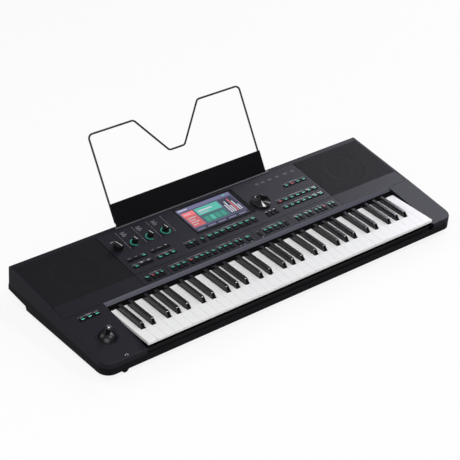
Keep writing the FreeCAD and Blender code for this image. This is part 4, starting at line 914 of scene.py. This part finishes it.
class KEYBOARD_OT_turn_dial(Operator):
    """Turns the data dial, with a face of fine rings and a cup for a finger"""
    bl_idname = "keyboard.turn_dial"
    bl_label = "Data dial"

    def execute(self, context):
        lacquer = Finish("Dial lacquer", specular_ior_level=0.8)
        cloud = lacquer.noise(60.0)
        lacquer.tint(cloud, (0.004, 0.004, 0.005), (0.006, 0.006, 0.007))
        lacquer.set(roughness=0.14 + cloud * 0.04)
        bright = plated("Dial edge", (0.42, 0.42, 0.45), 0.28)
        outline = list(DIAL_RIM)
        for number in range(RING_COUNT):
            outer = RING_OUTER - RING_PITCH * number
            outline += [(outer, RING_LOW), (outer - RING_WIDTH, RING_HIGH)]
        mesh = bmesh.new()
        turned(mesh, PART, outline + [(0, RING_HIGH)], 96)
        cup = seated(PART, 0, CUP_UP)
        turned(mesh, cup, [(6.4, 4.6), (6.4, 5.5), (6.2, 5.65)], 40)
        turned(mesh, cup, [(6.2, 5.65), (5.8, 5.6)], 40, index=1)
        turned(mesh, cup, [(5.8, 5.6), (4.6, 5.2), (2.8, 4.95), (0.0, 4.85)], 40)
        bmesh.ops.transform(mesh, matrix=DIAL_SEAT, verts=mesh.verts)
        dial = piece("data_dial_turned", mesh, "data_dial", "dial", lacquer, bright, sharp=25)
        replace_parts(dial, "data_dial")
        return {"FINISHED"}


class KEYBOARD_OT_light_screen(Operator):
    """Draws a plain page of fields and levels on the display, under its glass"""
    bl_idname = "keyboard.light_screen"
    bl_label = "Display"

    def execute(self, context):
        screen = context.scene.keyboard_screen
        glass = Finish("Display glass", emission_strength=screen.strength, coat_weight=0.0,
                       specular_ior_level=0.5)
        x, up, out = glass.axes(PANEL)
        drift = glass.noise(26.0, 1.0)
        page = glass.mix(drift, toned(screen.ground, 0.75), toned(screen.ground, 1.25))
        for rectangle, colour in self.fields(screen):
            page = glass.mix(glass.patch(x, up, rectangle), page, colour)
        front = glass.patch(x, up, PAGE) * (out > -0.9 * MM)
        glass.set(emission_color=glass.mix(front, (0, 0, 0), page))
        smear = glass.noise(35.0, 4.0)
        glass.tint(smear, (0.004, 0.004, 0.005), (0.009, 0.009, 0.011))
        glass.set(roughness=0.06 + smear * 0.06)
        dress(glass, "display_glass")
        return {"FINISHED"}

    def fields(self, screen):
        """The page's fields from the lowest layer up: left, low, right, high, and a colour."""
        teal, coral, ground = screen.teal, screen.coral, screen.ground
        pale, dim = (0.62, 0.62, 0.70), (0.22, 0.22, 0.34)
        left, low, right, high = PAGE
        fields = [
            ((left, 166.5, right, high), toned(ground, 1.7)),
            ((left, low, right, 102.5), toned(ground, 0.45)),
            ((-72, 107, -38, 162), toned(coral, 0.85)), ((-72, 148, -38, 162), toned(coral, 1.25)),
            ((-34, 137, 34, 162), teal), ((-34, 107, 34, 133), toned(teal, 0.38)),
            ((38, 107, 78, 162), toned(ground, 0.5)),
        ]
        fields += [((-68, up, -68 + length, up + 2.2), pale)
                   for up, length in ((153.5, 20), (139, 24), (131, 17), (123, 22), (115, 14))]
        fields += [((-29, 149, 12, 153.5), pale), ((-29, 142, -2, 144.6), toned(pale, 0.8))]
        fields += [((-30 + 15.5 * pad, 111, -18.5 + 15.5 * pad, 128),
                    toned(teal, 0.9 if pad == 1 else 0.62)) for pad in range(4)]
        fields += [((41 + 6.1 * bar, 110, 44.6 + 6.1 * bar, 110 + tall),
                    coral if bar == 3 else pale)
                   for bar, tall in enumerate((31, 42, 24, 47, 36, 20))]
        fields += [((-71 + 30.6 * tab, 95.4, -49 + 30.6 * tab, 99.2), dim) for tab in range(5)]
        fields += [((-72, 170, -46, 173.4), pale), ((60, 169.5, 66, 174), toned(teal, 1.1)),
                   ((69, 169.5, 78, 174), dim)]
        return fields


class KEYBOARD_OT_dress_joystick(Operator):
    """Finishes the joystick, its dome, bowl and gimbal, with a metal tip on the stick"""
    bl_idname = "keyboard.dress_joystick"
    bl_label = "Joystick"

    def execute(self, context):
        bowl = moulded("Bowl plastic", (0.018, 0.018, 0.026), 0.40, gloss=0.25, depth=0.008)
        dress(bowl, "joystick_bowl")
        stick = moulded("Joystick plastic", (0.0055, 0.0055, 0.0068), 0.36, gloss=0.4, depth=0.006)
        x, up, out = stick.axes(STICK_SEAT)
        near = stick.radius(x, up) < STICK_REACH * MM
        tip = (out > TIP_LOW * MM) * near
        collar = (out > COLLAR_LOW * MM) * (out < COLLAR_HIGH * MM) * near
        stick.over(tip + collar * 0.3, (0.62, 0.62, 0.64))
        stick.set(metallic=tip)
        stick.set(roughness=Value(stick, stick.given("Roughness")) - tip * 0.2)
        dress(stick, "joystick_stick")
        dress(moulded("Gimbal plastic", (0.05, 0.05, 0.055), 0.5), "joystick_gimbal")
        self.hang_skirt(stick)
        return {"FINISHED"}

    def hang_skirt(self, finish):
        """A skirt under the dome fills the bowl at full lean, notched for the gimbal's pins."""
        rows = range(SKIRT_ROWS + 1)
        angles = [radians(SKIRT_START + SKIRT_SPAN * row / SKIRT_ROWS) for row in rows]
        outline = [(radius * sin(angle), radius * cos(angle)) for radius, side in (
            (SKIRT_OUTER, angles), (SKIRT_INNER, reversed(angles))) for angle in side]
        mesh = bmesh.new()
        faces = turned(mesh, PART, outline, 48, closed=True)
        notches = [face for face in faces if abs(face.calc_center_median().y) < NOTCH * MM]
        bmesh.ops.delete(mesh, geom=notches, context="FACES")
        bmesh.ops.holes_fill(mesh, edges=[edge for edge in mesh.edges if edge.is_boundary])
        bmesh.ops.recalc_face_normals(mesh, faces=mesh.faces)
        bmesh.ops.transform(mesh, matrix=seated(STICK_SEAT, out=-PIVOT_DEPTH), verts=mesh.verts)
        piece("joystick_skirt", mesh, "joystick_stick", "joystick", finish, sharp=40)


class KEYBOARD_OT_dress_rest(Operator):
    """Finishes the music rest's plate, wire and slot"""
    bl_idname = "keyboard.dress_rest"
    bl_label = "Music rest"

    def execute(self, context):
        plate = moulded("Rest plate lacquer", (0.0045, 0.0045, 0.0055), 0.55, gloss=0.06,
                        grain=2200.0, depth=0.03)
        wire = moulded("Rest wire coating", (0.006, 0.006, 0.006), 0.34, gloss=0.4, grain=1700.0,
                       depth=0.02)
        dress(plate, "music_rest_plate")
        dress(wire, "music_rest_wire")
        dress(moulded("Slot trim plastic", (0.11, 0.11, 0.12), 0.38), "music_rest_slot")
        soften(["music_rest_plate"], 0.5 * MM)
        return {"FINISHED"}


class KEYBOARD_OT_dress_sockets(Operator):
    """Finishes the sockets, with nuts on the rear jacks and tongues in the data sockets"""
    bl_idname = "keyboard.dress_sockets"
    bl_label = "Sockets"

    def execute(self, context):
        metal = plated("Socket nickel", (0.62, 0.61, 0.58), 0.26)
        black = moulded("Socket plastic", (0.012, 0.012, 0.012), 0.4, depth=0.02)
        front = moulded("Front socket plastic", (0.004, 0.004, 0.0045), 0.5, gloss=0.06, depth=0.02)
        dress(metal, "usb_sockets")
        dress(black, "rear_jacks", "power_inlet")
        dress(front, "headphone_socket")
        dress(moulded("Socket plate plastic", (0.016, 0.016, 0.018), 0.5), "socket_plate")
        nuts = bmesh.new()
        for x in JACKS:
            turned(nuts, spun(seated(PART, x, REAR_Y, JACK_Z), -90, "X"), NUT, 32, closed=True)
        piece("jack_nuts", nuts, "case", "socket_metal", metal)
        tongues = bmesh.new()
        for x in DATA_SOCKETS:
            block(tongues, PART, (x, TONGUE_Y, TONGUE_Z), TONGUE, edge=0.3)
        tongue = moulded("Tongue plastic", (0.5, 0.5, 0.48), 0.45, depth=0.01)
        piece("usb_tongues", tongues, "case", "socket_plastic", tongue)
        return {"FINISHED"}


class KEYBOARD_OT_dress_underside(Operator):
    """Finishes the rubber feet and the case screws, with painted shade for their cross recesses"""
    bl_idname = "keyboard.dress_underside"
    bl_label = "Feet and screws"

    def execute(self, context):
        rubber = moulded("Foot rubber", (0.012, 0.012, 0.012), 0.82, gloss=0.2, grain=700.0,
                         depth=0.12)
        dress(rubber, "rubber_feet")
        screw = plated("Screw steel", (0.30, 0.30, 0.31), 0.34, (1.0, 1.0, 1.0))
        x, y, z = screw.axes()
        across = abs(abs(x) - SCREW_X * MM)
        first, second, third = (abs(y - row * MM) for row in SCREW_ROWS)
        along = screw.math("MINIMUM", screw.math("MINIMUM", first, second), third)
        near = (across < CROSS_REACH * MM) * (along < CROSS_REACH * MM) * (z < SCREW_TOP * MM)
        cross = screw.math("MAXIMUM", across < CROSS_HALF * MM, along < CROSS_HALF * MM)
        # The cross recesses are not modelled: a dark cross on each screw head is painted shade.
        screw.over(near * cross, (0.01, 0.01, 0.01))
        dress(screw, "case_screws")
        return {"FINISHED"}


class KEYBOARD_OT_dress_insides(Operator):
    """Finishes what the case holds: key frame, boards, contacts and speakers"""
    bl_idname = "keyboard.dress_insides"
    bl_label = "Insides"

    def execute(self, context):
        dress(moulded("Key frame plastic", (0.02, 0.02, 0.021), 0.6), "key_frame")
        dress(moulded("Contact rubber", (0.16, 0.16, 0.155), 0.75, depth=0.05), "contact_rubber")
        board = Finish("Circuit board", coat_weight=0.4, coat_roughness=0.2)
        x, y, _ = board.axes()
        track = (board.math("SINE", x * 900) * board.math("SINE", y * 1300)) > 0.25
        board.tint(board.noise(50.0), (0.012, 0.055, 0.03), (0.018, 0.075, 0.04))
        board.over(track * 0.5, (0.035, 0.12, 0.06))
        board.set(roughness=0.4 + track * 0.08)
        dress(board, "contact_board", "main_board", "panel_boards")
        dress(plated("Speaker steel", (0.23, 0.23, 0.24), 0.42), "speaker_frames")
        cone = moulded("Speaker paper", (0.014, 0.014, 0.014), 0.8, gloss=0.15, grain=900.0,
                       depth=0.1)
        dress(cone, "left_speaker_cone", "right_speaker_cone")
        return {"FINISHED"}


class KEYBOARD_OT_set_stage(Operator):
    """Sets the pale floor, the soft lights, the sky and the camera"""
    bl_idname = "keyboard.set_stage"
    bl_label = "Stage"

    def execute(self, context):
        stage = context.scene.keyboard_stage
        self.lay_floor(stage)
        self.hang_light("Key light", (3.0, 1.25, 2.05), 1.5, stage.key, (0.88, 0.88, 1.0))
        self.hang_light("Fill light", (-1.7, -1.7, 2.0), 2.4, stage.fill)
        self.hang_light("Rim light", (-1.4, 2.0, 2.0), 0.8, stage.rim)
        self.hang_light("Top light", (0.96, -0.53, 2.31), 0.6, stage.top)
        self.tint_sky(context, stage)
        self.place_camera(context, stage)
        context.scene.view_settings.view_transform = "Standard"
        return {"FINISHED"}

    def lay_floor(self, stage):
        """A wide round floor with a raised rim, its outline in metres, nearly white where seen."""
        paper = Finish("Floor paper", roughness=0.9)
        paper.tint(paper.noise(3.0), toned(stage.floor, 0.99), stage.floor)
        white = paper.add("ShaderNodeEmission", None, {"Color": (1, 1, 1, 1), "Strength": 1.0})
        both = paper.add("ShaderNodeMixShader", None, {
            0: self.seen(paper) * 0.85, 1: paper.shader.outputs[0], 2: white.outputs[0]})
        paper.tree.links.new(both.outputs[0], paper.output.inputs["Surface"])
        mesh = bmesh.new()
        seat = Matrix.Translation((0, 0, CAD_LOW.z - 0.2 * MM)) @ Matrix.Scale(1 / MM, 4)
        turned(mesh, seat, [(0, 0), (50, 0), (56, 1.5), (60, 6), (61, 14)], 64)
        formed("floor", mesh, paper)

    def seen(self, finish):
        """1 for a ray from the camera, or through glass or off a mirror."""
        path = finish.add("ShaderNodeLightPath")
        camera, glossy, through = (Value(finish, path.outputs[name]) for name in (
            "Is Camera Ray", "Is Glossy Ray", "Is Transmission Ray"))
        return finish.math("MAXIMUM", finish.math("MAXIMUM", camera, glossy), through)

    def hang_light(self, name, place, size, power, colour=(1.0, 1.0, 1.0)):
        lamp = bpy.data.lights.new(name, "AREA")
        lamp.shape = "SQUARE"
        lamp.size = size
        lamp.energy = power
        lamp.color = colour
        light = placed(name, lamp)
        light.location = place
        middle = Vector((0, 0.12, 0.05))
        aim = middle - Vector(place)
        light.rotation_euler = aim.to_track_quat("-Z", "Y").to_euler()

    def tint_sky(self, context, stage):
        world = bpy.data.worlds.new("Studio")
        world.use_nodes = True
        ground = world.node_tree.nodes["Background"]
        ground.inputs["Color"].default_value = (0.96, 0.97, 1.0, 1.0)
        ground.inputs["Strength"].default_value = stage.sky
        context.scene.world = world

    def place_camera(self, context, stage):
        """The photograph's viewing angle: from the left front, above, and a little rolled."""
        azimuth, lift, roll = radians(-42.31), radians(32.84), radians(4.62)
        target, distance = Vector((140.05, 334.16, -66.63)) * MM, 3.85576
        back = Vector((sin(azimuth) * cos(lift), -cos(azimuth) * cos(lift), sin(lift)))
        right = Vector((cos(azimuth), sin(azimuth), 0))
        up = back.cross(right)
        across = cos(roll) * right + sin(roll) * up
        upright = cos(roll) * up - sin(roll) * right
        turn = Matrix((across, upright, back)).transposed().to_4x4()
        data = bpy.data.cameras.new("Camera")
        data.lens = stage.lens
        data.sensor_width = 36
        camera = placed("Camera", data)
        camera.matrix_world = Matrix.Translation(target + back * distance) @ turn
        context.scene.camera = camera


OPERATORS = (
    KEYBOARD_OT_dress_case, KEYBOARD_OT_stretch_grilles, KEYBOARD_OT_lay_felts,
    KEYBOARD_OT_dress_keys, KEYBOARD_OT_dress_panel, KEYBOARD_OT_print_panel,
    KEYBOARD_OT_dress_buttons, KEYBOARD_OT_turn_knobs, KEYBOARD_OT_turn_dial,
    KEYBOARD_OT_light_screen, KEYBOARD_OT_dress_joystick, KEYBOARD_OT_dress_rest,
    KEYBOARD_OT_dress_sockets, KEYBOARD_OT_dress_underside, KEYBOARD_OT_dress_insides,
    KEYBOARD_OT_set_stage,
)
SETTINGS = {
    "keyboard_case": CaseSettings, "keyboard_grille": GrilleSettings, "keyboard_keys": KeySettings,
    "keyboard_buttons": ButtonSettings, "keyboard_print": PrintSettings,
    "keyboard_knobs": KnobSettings, "keyboard_screen": ScreenSettings,
    "keyboard_stage": StageSettings,
}


class KEYBOARD_PT_pieces(Panel):
    """Lists the keyboard's pieces and their settings"""
    bl_label = "Arranger keyboard"
    bl_idname = "KEYBOARD_PT_pieces"
    bl_space_type = "VIEW_3D"
    bl_region_type = "UI"
    bl_category = "Keyboard"

    def draw(self, context):
        for operator in OPERATORS:
            self.layout.operator(operator.bl_idname)
        for name, group in SETTINGS.items():
            box = self.layout.box()
            for key in group.__annotations__:
                box.prop(getattr(context.scene, name), key)


def register():
    for kind in (*SETTINGS.values(), *OPERATORS, KEYBOARD_PT_pieces):
        bpy.utils.register_class(kind)
    for name, kind in SETTINGS.items():
        setattr(bpy.types.Scene, name, PointerProperty(type=kind))


def unregister():
    for name in SETTINGS:
        delattr(bpy.types.Scene, name)
    for kind in (KEYBOARD_PT_pieces, *reversed(OPERATORS), *reversed(SETTINGS.values())):
        bpy.utils.unregister_class(kind)


def main():
    register()
    bpy.ops.keyboard.dress_case()
    bpy.ops.keyboard.stretch_grilles()
    bpy.ops.keyboard.lay_felts()
    bpy.ops.keyboard.dress_keys()
    bpy.ops.keyboard.dress_panel()
    bpy.ops.keyboard.print_panel()
    bpy.ops.keyboard.dress_buttons()
    bpy.ops.keyboard.turn_knobs()
    bpy.ops.keyboard.turn_dial()
    bpy.ops.keyboard.light_screen()
    bpy.ops.keyboard.dress_joystick()
    bpy.ops.keyboard.dress_rest()
    bpy.ops.keyboard.dress_sockets()
    bpy.ops.keyboard.dress_underside()
    bpy.ops.keyboard.dress_insides()
    bpy.ops.keyboard.set_stage()


if __name__ == "__main__":
    main()
